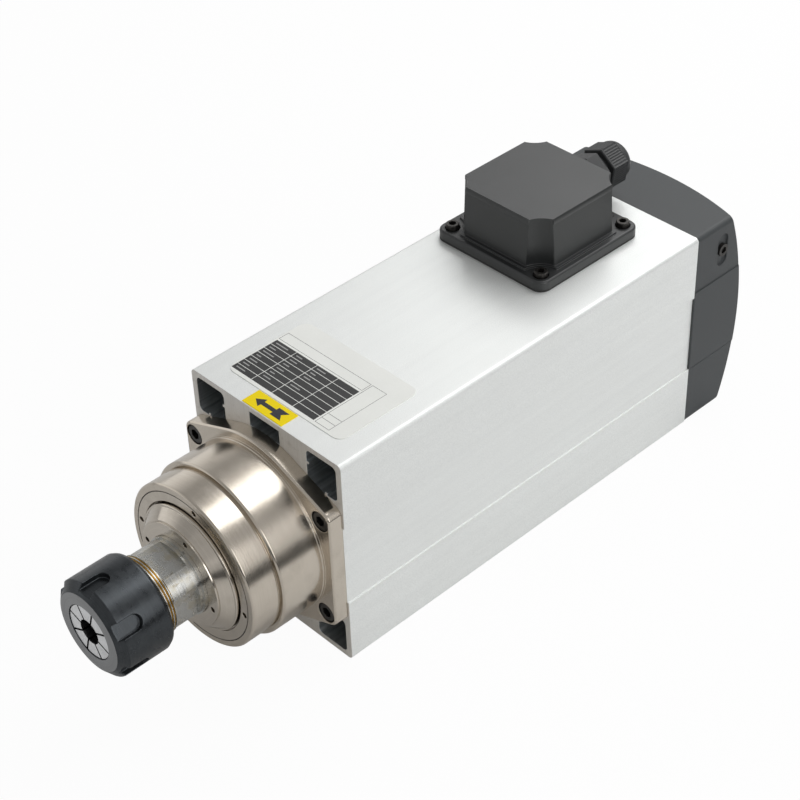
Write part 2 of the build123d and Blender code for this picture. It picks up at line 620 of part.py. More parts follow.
def spindle_shaft():
    pocket_end = COLLET_REAR + TOOL_POCKET_DEPTH
    rotor_seat_end = STATOR_END + ROTOR_RING_LENGTH
    fan_seat_start = REAR_BEARING_END + LOCK_NUT_WIDTH
    shoulder_end = BEARING_STOP + SHOULDER_WIDTH
    outline = [
        (COLLAR_END, NECK_RADIUS),
        (FLATS_REAR, NECK_RADIUS),
        (THREAD_REAR, NECK_RADIUS),
    ]
    outline += thread_profile()
    outline += [
        (SHAFT_END, collet_taper(SHAFT_END) + COLLET_SEAT_GAP),
        (COLLET_REAR, collet_taper(COLLET_REAR) + COLLET_SEAT_GAP),
        (COLLET_REAR, TOOL_POCKET_RADIUS),
        (pocket_end, TOOL_POCKET_RADIUS),
        (pocket_end + TOOL_POCKET_RADIUS / 2, 0),
        (SHAFT_REAR, 0),
        (SHAFT_REAR, FAN_SEAT_RADIUS - SHAFT_END_CHAMFER),
        (SHAFT_REAR - SHAFT_END_CHAMFER, FAN_SEAT_RADIUS),
        (CIRCLIP_PLACE + CIRCLIP_THICKNESS + FIT_GAP, FAN_SEAT_RADIUS),
        (CIRCLIP_PLACE + CIRCLIP_THICKNESS + FIT_GAP, FAN_SEAT_RADIUS - CIRCLIP_THICKNESS / 2),
        (CIRCLIP_PLACE, FAN_SEAT_RADIUS - CIRCLIP_THICKNESS / 2),
        (CIRCLIP_PLACE, FAN_SEAT_RADIUS),
        (fan_seat_start, FAN_SEAT_RADIUS),
        (fan_seat_start, REAR_SEAT_RADIUS),
        (REAR_BEARING, REAR_SEAT_RADIUS),
        (REAR_BEARING, REAR_STEP_RADIUS),
        (rotor_seat_end, REAR_STEP_RADIUS),
        (rotor_seat_end, ROTOR_SEAT_RADIUS),
        (shoulder_end, ROTOR_SEAT_RADIUS),
        (shoulder_end, SHOULDER_RADIUS),
        (BEARING_STOP, SHOULDER_RADIUS),
        (BEARING_STOP, SHAFT_BEARING_RADIUS),
        (BEARING_A, SHAFT_BEARING_RADIUS),
        (BEARING_A, COLLAR_RADIUS),
        (COLLAR_END, COLLAR_RADIUS),
    ]
    shaft = turned(outline)
    outside = COLLAR_RADIUS + FLAT_DISTANCE
    chip = Pos(FLAT_DISTANCE + outside / 2, (FLATS_REAR + THREAD_REAR) / 2, AXIS_HEIGHT) * Box(
        outside, FLATS_LENGTH, 2 * outside
    )
    shaft -= around(chip, FLAT_COUNT, FLAT_TURN)
    return shaft - fan_keyway(FAN_SEAT_RADIUS)


def fan_keyway(radius):
    """The slot for the fan's key, cut to the same size in the shaft and the hub."""
    size = KEY_WIDTH + 2 * KEY_GAP
    block = Box(size, KEY_LENGTH + 2 * KEY_GAP, KEY_HEIGHT + 2 * KEY_GAP)
    return Pos(0, CIRCLIP_PLACE - KEY_LENGTH / 2 - KEY_GAP, AXIS_HEIGHT + radius) * block


def fan_key():
    block = Box(KEY_WIDTH, KEY_LENGTH, KEY_HEIGHT)
    return Pos(0, CIRCLIP_PLACE - KEY_LENGTH / 2 - KEY_GAP, AXIS_HEIGHT + FAN_SEAT_RADIUS) * block


def collet():
    cone_start = COLLET_FACE + COLLET_FACE_LENGTH
    cone_end = cone_start + front_cone_length()
    taper_start = cone_end + COLLET_GROOVE_WIDTH
    bore = COLLET_BORE / 2
    body = turned([
        (COLLET_FACE, bore),
        (COLLET_FACE, COLLET_FACE_RADIUS),
        (cone_start, COLLET_FACE_RADIUS),
        (cone_end, COLLET_FRONT_CONE_RADIUS),
        (cone_end, COLLET_GROOVE_RADIUS),
        (taper_start, COLLET_GROOVE_RADIUS),
        (taper_start, COLLET_RADIUS),
        (COLLET_REAR, collet_taper(COLLET_REAR)),
        (COLLET_REAR, bore),
    ])
    length = COLLET_LENGTH - COLLET_SLIT_LAND
    slit = Box(2 * COLLET_RADIUS, length, COLLET_SLIT)
    shift = COLLET_RADIUS + bore / 2
    front_slit = Pos(shift, COLLET_FACE + length / 2, AXIS_HEIGHT) * slit
    rear_slit = Pos(shift, COLLET_REAR - length / 2, AXIS_HEIGHT) * slit
    body -= around(front_slit, COLLET_SLIT_COUNT, COLLET_SLIT_TURN)
    return body - around(rear_slit, COLLET_SLIT_COUNT, COLLET_SLIT_TURN + 180 / COLLET_SLIT_COUNT)


def collet_nut():
    cone_start = COLLET_FACE + COLLET_FACE_LENGTH
    cone_end = cone_start + front_cone_length()
    slope = math.tan(math.radians(COLLET_FRONT_CONE_ANGLE))
    lip_front = cone_end + NUT_CONE_GAP
    lip_back = cone_end + COLLET_GROOVE_WIDTH - NUT_LIP_GAP
    opening_end = cone_start + (NUT_OPENING_RADIUS - COLLET_FACE_RADIUS - NUT_CONE_GAP) / slope
    body = turned([
        (NUT_FACE, NUT_OPENING_RADIUS),
        (NUT_FACE, NUT_FACE_RADIUS),
        (NUT_FACE + NUT_CONE_LENGTH, NUT_RADIUS),
        (NUT_REAR - NUT_REAR_EDGE_LENGTH, NUT_RADIUS),
        (NUT_REAR, NUT_RADIUS - NUT_REAR_EDGE),
        (NUT_REAR, THREAD_RADIUS + NUT_THREAD_GAP),
        (lip_back, THREAD_RADIUS + NUT_THREAD_GAP),
        (lip_back, COLLET_GROOVE_RADIUS + NUT_LIP_GAP),
        (lip_front, COLLET_GROOVE_RADIUS + NUT_LIP_GAP),
        (lip_front, COLLET_FRONT_CONE_RADIUS + NUT_CONE_GAP),
        (cone_end, COLLET_FRONT_CONE_RADIUS + NUT_CONE_GAP),
        (opening_end, NUT_OPENING_RADIUS),
    ])
    straight = NUT_SLOT_LENGTH - NUT_SLOT_WIDTH / 2
    floor = NUT_RADIUS - NUT_SLOT_DEPTH
    depth = 2 * NUT_SLOT_DEPTH
    middle = floor + depth / 2
    slot = Pos(middle, NUT_FACE + straight / 2, AXIS_HEIGHT) * Box(depth, straight, NUT_SLOT_WIDTH)
    round_end = Rot(0, 90, 0) * Cylinder(NUT_SLOT_WIDTH / 2, depth)
    slot += Pos(middle, NUT_FACE + straight, AXIS_HEIGHT) * round_end
    return body - around(slot, NUT_SLOT_COUNT, NUT_SLOT_TURN)


def stator_core():
    lamination = Circle(HOUSING_BORE / 2 - FIT_GAP) - Circle(STATOR_INSIDE / 2)
    slot_height = SLOT_BOTTOM_RADIUS - SLOT_TOP_RADIUS
    slot = Pos((SLOT_BOTTOM_RADIUS + SLOT_TOP_RADIUS) / 2, 0) * Rectangle(slot_height, SLOT_WIDTH)
    mouth_height = SLOT_TOP_RADIUS - STATOR_INSIDE / 2
    slot += Pos(SLOT_TOP_RADIUS - mouth_height / 2, 0) * Rectangle(mouth_height + OVERRUN, SLOT_OPENING)
    slots = [Rot(0, 0, 360 / STATOR_SLOTS * i) * slot for i in range(STATOR_SLOTS)]
    return slab(lamination - slots, STATOR_START, STATOR_END)


def stator_winding():
    bar = Pos((SLOT_BOTTOM_RADIUS + SLOT_TOP_RADIUS) / 2, 0) * Rectangle(
        SLOT_BOTTOM_RADIUS - SLOT_TOP_RADIUS - 2 * WINDING_GAP, SLOT_WIDTH - 2 * WINDING_GAP
    )
    bars = [Rot(0, 0, 360 / STATOR_SLOTS * i) * bar for i in range(STATOR_SLOTS)]
    front = STATOR_START - WINDING_END_GAP
    rear = STATOR_END + WINDING_END_GAP
    start = STATOR_START - WINDING_OVERHANG
    winding = sleeve(start, front, WINDING_INSIDE_RADIUS, WINDING_OUTSIDE_RADIUS)
    winding += sleeve(rear, LEAD_END, WINDING_INSIDE_RADIUS, WINDING_OUTSIDE_RADIUS)
    for shape in bars:
        winding += slab(shape, front - OVERRUN, rear + OVERRUN)
    return winding


def rotor_radius():
    return STATOR_INSIDE / 2 - AIR_GAP


def bar_circle():
    return rotor_radius() - ROTOR_BAR_INSET


def rotor_core():
    core = sleeve(STATOR_START, STATOR_END, ROTOR_SEAT_RADIUS + FIT_GAP, rotor_radius())
    hole = rod(ROTOR_BAR_RADIUS + ROTOR_BAR_GAP, STATOR_START, STATOR_END, x=bar_circle())
    return core - around(hole, ROTOR_BARS)


def rotor_cage():
    inside = rotor_radius() - ROTOR_RING_WALL
    outside = rotor_radius() - AIR_GAP
    ends = sleeve(STATOR_START - ROTOR_RING_LENGTH, STATOR_START, inside, outside)
    ends += sleeve(STATOR_END, STATOR_END + ROTOR_RING_LENGTH, inside, outside)
    for bar in around(rod(ROTOR_BAR_RADIUS, STATOR_START, STATOR_END, x=bar_circle()), ROTOR_BARS):
        ends += bar
    return ends


def rear_bearing_housing():
    seat = REAR_BEARING_OUTSIDE / 2
    back = SHIELD_FACE
    spring_room = SPRING_THICKNESS + SPRING_WAVE
    inner_wall = seat + REAR_SEAT_WALL
    front_end = REAR_BEARING - REAR_WEB
    body = turned([
        (front_end, seat),
        (front_end, inner_wall),
        (REAR - REAR_WEB, inner_wall),
        (REAR - REAR_WEB, HOUSING_BORE / 2 - FIT_GAP),
        (REAR, HOUSING_BORE / 2 - FIT_GAP),
        (back, HOUSING_BORE / 2 - FIT_GAP),
        (back, LOCK_NUT_RADIUS + SHIELD_BORE_GAP),
        (REAR_BEARING_END + spring_room, LOCK_NUT_RADIUS + SHIELD_BORE_GAP),
        (REAR_BEARING_END + spring_room, seat),
    ])
    half_width = COVER_HALF_WIDTH - COVER_WALL - BRACKET_GAP
    flange = slab(lug_outline(REAR_FLANGE_RADIUS, REAR_LUG_X, half_width), REAR, back)
    flange -= rod(HOUSING_BORE / 2 - OVERRUN, REAR, back)
    body += flange
    # Two brackets carry the fan cover's screws, past the heads of the rear flange screws
    high = COVER_SCREW_HEIGHT + BRACKET_WIDTH / 2
    foot_low = LUG_HEIGHT
    arm_low = LUG_HEIGHT + FLANGE_SCREW_HEAD / 2 + BRACKET_GAP
    arm_end = REAR + COVER_SCREW_BACK + BRACKET_WIDTH / 2
    for side, up in ((1, 1), (-1, -1)):
        middle_x = side * (half_width - BRACKET_THICKNESS / 2)
        foot = Pos(middle_x, (REAR + back) / 2, AXIS_HEIGHT + up * (foot_low + high) / 2)
        arm = Pos(middle_x, (REAR + arm_end) / 2, AXIS_HEIGHT + up * (arm_low + high) / 2)
        body += foot * Box(BRACKET_THICKNESS, REAR_FLANGE_THICKNESS, high - foot_low)
        body += arm * Box(BRACKET_THICKNESS, arm_end - REAR, high - arm_low)
        tap = Pos(side * half_width, REAR + COVER_SCREW_BACK, AXIS_HEIGHT + up * COVER_SCREW_HEIGHT)
        body -= tap * Rot(0, 90, 0) * Cylinder(COVER_SCREW / 2, 4 * BRACKET_THICKNESS)
    return body - at_lugs(rod(FLANGE_SCREW / 2 + HEAD_GAP / 2, REAR - OVERRUN, back), REAR_LUG_X)


def preload_wave_spring():
    """A wave spring washer, drawn as a ring with three raised and three lowered pads."""
    start = REAR_BEARING_END + SPRING_WAVE / 2
    inside = REAR_BEARING_OUTSIDE / 2 - REAR_RING_WALL
    outside = REAR_BEARING_OUTSIDE / 2 - HEAD_GAP
    ring = sleeve(start, start + SPRING_THICKNESS, inside, outside)
    pad_length = SPRING_THICKNESS + SPRING_WAVE / 2
    middle = (inside + outside) / 2
    width = (outside - inside) * SPRING_PAD_SHARE
    pad = Box(width, pad_length, width)
    front_pad = Pos(middle, start - SPRING_WAVE / 2 + pad_length / 2, AXIS_HEIGHT) * pad
    rear_pad = Pos(0, SPRING_WAVE / 2, 0) * front_pad
    for pad in around(front_pad, SPRING_PADS) + around(rear_pad, SPRING_PADS, 180 / SPRING_PADS):
        ring += pad
    return ring


def rear_lock_nut():
    end = REAR_BEARING_END + LOCK_NUT_WIDTH
    nut = sleeve(REAR_BEARING_END, end, REAR_BEARING_BORE / 2, LOCK_NUT_RADIUS)
    block = Box(LOCK_NUT_SLOT, LOCK_NUT_WIDTH, LOCK_NUT_SLOT)
    notch = Pos(LOCK_NUT_RADIUS, (REAR_BEARING_END + end) / 2, AXIS_HEIGHT) * block
    return nut - around(notch, LOCK_NUT_SLOT_COUNT, LOCK_NUT_SLOT_TURN)


def cooling_fan():
    seat = FAN_SEAT_RADIUS + FIT_GAP
    hub = sleeve(FAN_BACK, FAN_BACK + FAN_WIDTH, seat, FAN_HUB_RADIUS)
    hub += sleeve(FAN_BACK, FAN_BACK + FAN_BACK_THICKNESS, seat, FAN_RADIUS)
    half = FAN_RADIUS / 2
    bend = math.hypot(half, FAN_BLADE_DROP)
    arc = Pos(half, -FAN_BLADE_DROP) * (Circle(bend) - Circle(bend - FAN_BLADE_THICKNESS))
    reach = Circle(FAN_RADIUS) - Circle(FAN_HUB_RADIUS - OVERRUN)
    blade = arc & reach & (Pos(half, half) * Rectangle(2 * half, 2 * half))
    for i in range(FAN_BLADES):
        turned_blade = Rot(0, 0, 360 / FAN_BLADES * i) * blade
        hub += slab(turned_blade, FAN_BACK + FAN_BACK_THICKNESS / 2, FAN_BACK + FAN_WIDTH)
    return hub - fan_keyway(FAN_SEAT_RADIUS)


def fan_circlip():
    inside = FAN_SEAT_RADIUS - CIRCLIP_THICKNESS / 2 + FIT_GAP
    start = CIRCLIP_PLACE + FIT_GAP / 2
    ring = sleeve(start, CIRCLIP_PLACE + CIRCLIP_THICKNESS, inside, inside + CIRCLIP_WALL)
    block = Box(CIRCLIP_WALL, 4 * CIRCLIP_THICKNESS, 4 * CIRCLIP_WALL)
    return ring - Pos(0, CIRCLIP_PLACE, AXIS_HEIGHT - FAN_SEAT_RADIUS) * block


def cover_form(inset, edge_radius):
    """The form of the fan cover, taken in by an inset: a rounded box with a domed rear end."""
    width = 2 * (COVER_HALF_WIDTH - inset)
    height = 2 * (COVER_HALF_HEIGHT - inset)
    box = slab(RectangleRounded(width, height, edge_radius), REAR, REAR + COVER_LENGTH)
    dome_centre = REAR + COVER_LENGTH - COVER_DOME_RADIUS
    return box & Pos(0, dome_centre, AXIS_HEIGHT) * Sphere(COVER_DOME_RADIUS - inset)


def fan_cover():
    form = cover_form(0, COVER_EDGE_RADIUS)
    band = Pos(0, REAR + COVER_LENGTH / 2, AXIS_HEIGHT + COVER_BAND_LIFT) * Box(
        2 * (COVER_HALF_WIDTH + COVER_BAND_PROUD), COVER_LENGTH, COVER_BAND_HEIGHT
    )
    dome_centre = REAR + COVER_LENGTH - COVER_DOME_RADIUS
    band &= Pos(0, dome_centre, AXIS_HEIGHT) * Sphere(COVER_DOME_RADIUS)
    cover = form + band - cover_form(COVER_WALL, COVER_INNER_RADIUS)
    spokes = [
        Rot(0, 0, 180 / GRILLE_SPOKES * 2 * i) * Rectangle(4 * FAN_RADIUS, GRILLE_SPOKE_WIDTH)
        for i in range(GRILLE_SPOKES // 2)
    ]
    for ring in range(GRILLE_RINGS):
        inside = GRILLE_FIRST_RADIUS + ring * GRILLE_PITCH
        slots = Circle(inside + GRILLE_SLOT) - Circle(inside) - spokes
        cover -= slab(slots, REAR + COVER_LENGTH / 2, REAR + COVER_LENGTH)
    pocket_outline = SlotOverall(COVER_POCKET_HEIGHT, COVER_POCKET_WIDTH)
    cut = extrude(pocket_outline, amount=COVER_POCKET_DEPTH, both=True)
    cut += Cylinder(COVER_SCREW / 2 + HEAD_GAP / 2, 4 * COVER_WALL)
    for side, up in ((1, 1), (-1, -1)):
        height = AXIS_HEIGHT + up * COVER_SCREW_HEIGHT
        cover -= Pos(side * COVER_HALF_WIDTH, REAR + COVER_SCREW_BACK, height) * Rot(0, 90, 0) * cut
    return cover


def fan_cover_screws():
    screws = []
    for side, up in ((1, 1), (-1, -1)):
        screw = cap_screw(COVER_SCREW, COVER_SCREW_HEAD, COVER_SCREW_HEAD_HEIGHT, COVER_SCREW_LENGTH)
        seat = side * (COVER_HALF_WIDTH - COVER_POCKET_DEPTH)
        place = Pos(seat, REAR + COVER_SCREW_BACK, AXIS_HEIGHT + up * COVER_SCREW_HEIGHT)
        screws.append(place * Rot(0, side * 90, 0) * screw)
    return screws


def box_outline(size, arc=BOX_CORNER_ARC):
    """A square with its four corners hollowed by arcs that clear the screws."""
    centre = BOX_CORNER_CENTRE
    corners = [Pos(x, y) * Circle(arc) for x in (-centre, centre) for y in (-centre, centre)]
    return Rectangle(size, size) - corners


def box_shell():
    """The drafted body of the junction box, before it is hollowed."""
    low = Plane.XY * box_outline(BOX_BASE)
    high = Plane.XY.offset(BOX_HEIGHT) * box_outline(BOX_TOP)
    return loft([low.faces()[0], high.faces()[0]])


def junction_box():
    place = Pos(BOX_OFFSET_X, BOX_CENTRE_Y, BOX_FLOOR - GASKET_THICKNESS)
    outline = RectangleRounded(BOX_FLANGE, BOX_FLANGE, BOX_FLANGE_CORNER)
    flange = Pos(0, 0, GASKET_THICKNESS) * extrude(outline, amount=BOX_FLANGE_THICKNESS)
    flange = chamfer(flange.faces().sort_by(Axis.Z)[-1].edges(), BOX_FLANGE_EDGE)
    plinth_outline = box_outline(BOX_BASE + 2 * BOX_PLINTH, BOX_CORNER_ARC - BOX_PLINTH)
    plinth_height = BOX_FLANGE_THICKNESS + BOX_PLINTH_HEIGHT
    plinth = Pos(0, 0, GASKET_THICKNESS) * extrude(plinth_outline, amount=plinth_height)
    body = box_shell()
    floor_cut = Pos(0, 0, GASKET_THICKNESS / 2) * Box(2 * BOX_FLANGE, 2 * BOX_FLANGE, GASKET_THICKNESS)
    body -= floor_cut
    lid = Pos(0, 0, BOX_HEIGHT - BOX_LID_DEPTH) * extrude(
        box_outline(BOX_TOP + 2 * BOX_LID_PROUD), amount=BOX_LID_DEPTH
    )
    lid = chamfer(lid.faces().sort_by(Axis.Z)[-1].edges(), BOX_LID_EDGE)
    body += flange
    body += plinth
    body += lid
    body -= hollow_of_box()
    body = place * body
    hole = Cylinder(BOX_SCREW / 2 + HEAD_GAP / 2, 4 * BOX_FLANGE_THICKNESS)
    sink = Cylinder(BOX_SCREW_HEAD / 2 + HEAD_GAP, 2 * BOX_SCREW_SINK)
    for x, y in box_places():
        body -= Pos(x, y, HOUSING_HEIGHT) * hole
        body -= Pos(x, y, FLANGE_TOP) * sink
    body += gland_rod(GLAND_BOSS_RADIUS, box_inside(), box_back())
    seat_radius = GLAND_LOCKNUT_HEX / math.sqrt(3) + HEAD_GAP / 2
    body -= gland_rod(seat_radius, box_inside() - GLAND_LOCKNUT_THICKNESS, box_inside())
    return body - gland_rod(GLAND_THREAD_RADIUS + FIT_GAP, box_inside(), box_back())


def hollow_of_box():
    """The space inside the junction box: the outer form taken in by the wall."""
    arc = BOX_CORNER_ARC + BOX_WALL
    low = Plane.XY * box_outline(BOX_BASE - 2 * BOX_WALL, arc)
    high = Plane.XY.offset(BOX_HEIGHT - BOX_WALL) * box_outline(BOX_TOP - 2 * BOX_WALL, arc)
    return loft([low.faces()[0], high.faces()[0]])


def junction_box_gasket():
    outline = RectangleRounded(BOX_FLANGE, BOX_FLANGE, BOX_FLANGE_CORNER)
    inside = BOX_FLANGE - 2 * GASKET_WIDTH
    window = RectangleRounded(inside, inside, BOX_FLANGE_CORNER)
    half = BOX_SCREW_SPACING / 2
    window -= [Pos(x, y) * Circle(2 * BOX_SCREW) for x in (-half, half) for y in (-half, half)]
    gasket = extrude(outline - window, amount=GASKET_THICKNESS)
    gasket = Pos(BOX_OFFSET_X, BOX_CENTRE_Y, HOUSING_HEIGHT) * gasket
    hole = Cylinder(BOX_SCREW / 2 + HEAD_GAP / 2, 4 * GASKET_THICKNESS)
    for x, y in box_places():
        gasket -= Pos(x, y, HOUSING_HEIGHT) * hole
    return gasket


def junction_box_screws():
    screw = cap_screw(BOX_SCREW - 2 * FIT_GAP, BOX_SCREW_HEAD, BOX_SCREW_HEAD_HEIGHT, BOX_SCREW_LENGTH)
    return [Pos(x, y, FLANGE_TOP - BOX_SCREW_SINK) * screw for x, y in box_places()]


def terminal_place():
    """Where the terminal block stands: over the wiring hole."""
    return Pos(BOX_OFFSET_X, BOX_CENTRE_Y + LEAD_OFFSET_Y, HOUSING_HEIGHT)


def terminal_studs():
    return [TERMINAL_PITCH * (i - (LEAD_COUNT - 1) / 2) for i in range(LEAD_COUNT)]


def terminal_block():
    up = (Align.CENTER, Align.CENTER, Align.MIN)
    bar = Box(TERMINAL_LENGTH, TERMINAL_WIDTH, TERMINAL_HEIGHT, align=up)
    block = Pos(0, 0, TERMINAL_BASE_HEIGHT) * bar
    for side in (-1, 1):
        leg_x = side * (TERMINAL_LENGTH - TERMINAL_LEG) / 2
        block += Pos(leg_x, 0, 0) * Box(TERMINAL_LEG, TERMINAL_WIDTH, TERMINAL_BASE_HEIGHT, align=up)
    top = TERMINAL_BASE_HEIGHT + TERMINAL_HEIGHT
    barrier = Box(TERMINAL_LEG / 2, TERMINAL_WIDTH, TERMINAL_LEG, align=up)
    for i in range(LEAD_COUNT + 1):
        block += Pos(TERMINAL_PITCH * (i - LEAD_COUNT / 2), 0, top) * barrier
    for x in terminal_studs():
        block -= Pos(x, 0, top) * Cylinder(TERMINAL_SCREW / 2, TERMINAL_HEIGHT)
    return terminal_place() * block


def terminal_screws():
    shank = TERMINAL_SCREW - 2 * FIT_GAP
    screw = cap_screw(shank, TERMINAL_SCREW_HEAD, TERMINAL_SCREW / 2, TERMINAL_HEIGHT / 2)
    top = TERMINAL_BASE_HEIGHT + TERMINAL_HEIGHT
    return [terminal_place() * Pos(x, 0, top) * screw for x in terminal_studs()]


def earth_screw():
    screw = cap_screw(EARTH_SCREW - 2 * FIT_GAP, 2 * EARTH_SCREW, EARTH_SCREW / 2, EARTH_SCREW)
    return earth_place() * screw


def motor_leads():
    """Three leads from the winding's rear end up through the wiring hole to the terminal block."""
    leads = []
    lead_y = BOX_CENTRE_Y + LEAD_OFFSET_Y
    top = HOUSING_HEIGHT + TERMINAL_BASE_HEIGHT
    for i in range(LEAD_COUNT):
        x = BOX_OFFSET_X + LEAD_OFFSET_X + LEAD_PITCH * (i - (LEAD_COUNT - 1) / 2)
        middle_radius = (WINDING_INSIDE_RADIUS + WINDING_OUTSIDE_RADIUS) / 2
        low = AXIS_HEIGHT + math.sqrt(middle_radius**2 - x**2)
        route = FilletPolyline((x, LEAD_END, low), (x, lead_y, low), (x, lead_y, top), radius=LEAD_BEND)
        section = Plane(origin=route @ 0, z_dir=route % 0) * Circle(LEAD_DIAMETER / 2)
        leads.append(sweep(section, path=route))
        print("lead", i + 1, "length", round(route.length, 1), "bend radius", LEAD_BEND)
    return leads


def box_back():
    """The flat face of the boss behind the junction box, where the gland's ring seats."""
    share = GLAND_HEIGHT / BOX_HEIGHT
    wall = (BOX_BASE + (BOX_TOP - BOX_BASE) * share) / 2
    return BOX_CENTRE_Y + wall + GLAND_BOSS_PROUD


def box_inside():
    """The flat face inside the junction box, where the gland's locknut seats."""
    return box_back() - 2 * GLAND_BOSS_PROUD - BOX_WALL


def gland_start():
    return box_back() + O_RING_SECTION


def hexagon(flats):
    return Rot(0, 0, 30 + GLAND_TURN) * RegularPolygon(flats / 2, 6, major_radius=False)


def gland_rod(radius, start, end):
    return rod(radius, start, end, x=BOX_OFFSET_X, z=GLAND_AXIS)


def gland_prism(flats, start, end):
    return Pos(BOX_OFFSET_X, end, GLAND_AXIS) * extrude(Plane.XZ * hexagon(flats), amount=end - start)


def gland_body():
    start = gland_start()
    inside = box_inside() - GLAND_LOCKNUT_THICKNESS - GLAND_THREAD_END
    collar_end = start + GLAND_COLLAR
    hex_end = collar_end + GLAND_HEX_LENGTH
    body = gland_rod(GLAND_COLLAR_RADIUS, start, collar_end)
    body += gland_prism(GLAND_HEX, collar_end, hex_end)
    body += gland_rod(GLAND_THREAD_RADIUS, inside, hex_end + GLAND_GAP + GLAND_NECK_LENGTH)
    return body - gland_rod(GLAND_BORE_RADIUS, inside, hex_end + GLAND_GAP + GLAND_NECK_LENGTH)


def gland_nut_start():
    return gland_start() + GLAND_COLLAR + GLAND_HEX_LENGTH + GLAND_GAP


def gland_seal():
    """The rubber bush that grips a cable: a sleeve in the body and a head under the dome nut."""
    head = gland_nut_start() + GLAND_NECK_LENGTH + SEAL_GAP
    end = head + SEAL_HEAD_LENGTH
    bush = gland_rod(GLAND_BORE_RADIUS - SEAL_GAP, head - SEAL_LENGTH, head)
    bush += gland_rod(SEAL_HEAD_RADIUS, head, end)
    return bush - gland_rod(SEAL_BORE_RADIUS, head - SEAL_LENGTH, end)


def gland_dome_nut():
    start = gland_nut_start()
    hex_end = start + GLAND_NUT_HEX_LENGTH
    end = hex_end + GLAND_NUT_DOME_LENGTH
    nut = gland_prism(GLAND_NUT_HEX, start, hex_end)
    dome_outline = make_face(
        Line((0, hex_end), (GLAND_NUT_HEX / 2, hex_end))
        + Line((GLAND_NUT_HEX / 2, hex_end), (GLAND_NUT_HEX / 2, hex_end + GLAND_DOME_EDGE))
        + ThreePointArc(
            (GLAND_NUT_HEX / 2, hex_end + GLAND_DOME_EDGE),
            (GLAND_NUT_HEX / 2 - GLAND_DOME_INSET, hex_end + GLAND_NUT_DOME_LENGTH * GLAND_DOME_SHARE),
            (GLAND_MOUTH_RADIUS + GLAND_NUT_WALL, end),
        )
        + Line((GLAND_MOUTH_RADIUS + GLAND_NUT_WALL, end), (0, end))
        + Line((0, end), (0, hex_end))
    )
    nut += Pos(BOX_OFFSET_X, 0, GLAND_AXIS) * revolve(dome_outline, axis=Axis.Y, revolution_arc=360)
    thread_end = start + GLAND_NECK_LENGTH + SEAL_HEAD_LENGTH + 2 * SEAL_GAP
    nut -= gland_rod(GLAND_THREAD_RADIUS + GLAND_NUT_THREAD_GAP, start, thread_end)
    return nut - gland_rod(GLAND_MOUTH_RADIUS, start, end)


def gland_o_ring():
    outside = GLAND_COLLAR_RADIUS - O_RING_SECTION
    ring = gland_rod(outside, box_back(), gland_start())
    return ring - gland_rod(outside - 2 * O_RING_SECTION, box_back(), gland_start())


def gland_locknut():
    front = box_inside() - GLAND_LOCKNUT_THICKNESS
    nut = gland_prism(GLAND_LOCKNUT_HEX, front, box_inside())
    return nut - gland_rod(GLAND_THREAD_RADIUS + FIT_GAP, front, box_inside())


def rating_plate():
    plate = extrude(RectangleRounded(PLATE_WIDTH, PLATE_LENGTH, PLATE_CORNER), amount=PLATE_THICKNESS)
    return Pos(PLATE_OFFSET_X, PLATE_FRONT + PLATE_LENGTH / 2, HOUSING_HEIGHT) * plate


def direction_label():
    label = extrude(Rectangle(ARROW_LABEL_WIDTH, ARROW_LABEL_LENGTH), amount=PLATE_THICKNESS)
    return Pos(ARROW_LABEL_OFFSET_X, FRONT + ARROW_LABEL_FROM_FRONT, HOUSING_HEIGHT) * label


def as_solids(shape):
    """The solids of one piece or of a list of identical pieces."""
    if isinstance(shape, (list, tuple)):
        return [solid for item in shape for solid in item.solids()]
    return list(shape.solids())


def write(node, shape):
    solids = as_solids(shape)
    part = solids[0] if len(solids) == 1 else Compound(children=solids)
    export_step(part, "parts/" + node + ".step")
    print(node, len(solids), "solids")


os.makedirs("parts", exist_ok=True)

front_rings = [
    bearing_rings(start, BEARING_WIDTH, BEARING_BORE, BEARING_OUTSIDE, BEARING_RING_WALL, BALL_DIAMETER)
    for start in (BEARING_A, BEARING_B)
]
rear_rings = bearing_rings(
    REAR_BEARING,
    REAR_BEARING_WIDTH,
    REAR_BEARING_BORE,
    REAR_BEARING_OUTSIDE,
    REAR_RING_WALL,
    REAR_BALL_DIAMETER,
)
front_circle = (BEARING_BORE + BEARING_OUTSIDE) / 4
rear_circle = (REAR_BEARING_BORE + REAR_BEARING_OUTSIDE) / 4
spacer_start = BEARING_A + BEARING_WIDTH
outer_radius = BEARING_OUTSIDE / 2 - FIT_GAP
outer_spacer = sleeve(spacer_start, BEARING_B, outer_radius - SPACER_WALL, outer_radius)
inner_spacer = sleeve(spacer_start, BEARING_B, BEARING_BORE / 2, BEARING_BORE / 2 + SPACER_WALL)

write("housing_extrusion", housing_extrusion())
write("front_bearing_housing", front_bearing_housing())
write("front_flange_screws", flange_screws(FLANGE_FACE + COUNTERBORE_DEPTH, LUG_X, 90))
write("bearing_retainer_ring", bearing_retainer_ring())
write("front_bearing_outer_rings", [outer for inner, outer in front_rings])
write("front_bearing_inner_rings", [inner for inner, outer in front_rings])
write("front_outer_spacer", outer_spacer)
write("front_inner_spacer", inner_spacer)
write(
    "front_bearing_balls",
    ball_row(BEARING_A + BEARING_WIDTH / 2, front_circle, BALL_COUNT, BALL_DIAMETER)
    + ball_row(BEARING_B + BEARING_WIDTH / 2, front_circle, BALL_COUNT, BALL_DIAMETER),
)
write(
    "front_bearing_cages",
    [
        cage(start + BEARING_WIDTH / 2, BEARING_BORE, BEARING_OUTSIDE, BALL_COUNT, BALL_DIAMETER)
        for start in (BEARING_A, BEARING_B)
    ],
)
write("labyrinth_nut", labyrinth_nut())
write("spindle_shaft", spindle_shaft())
write("collet", collet())
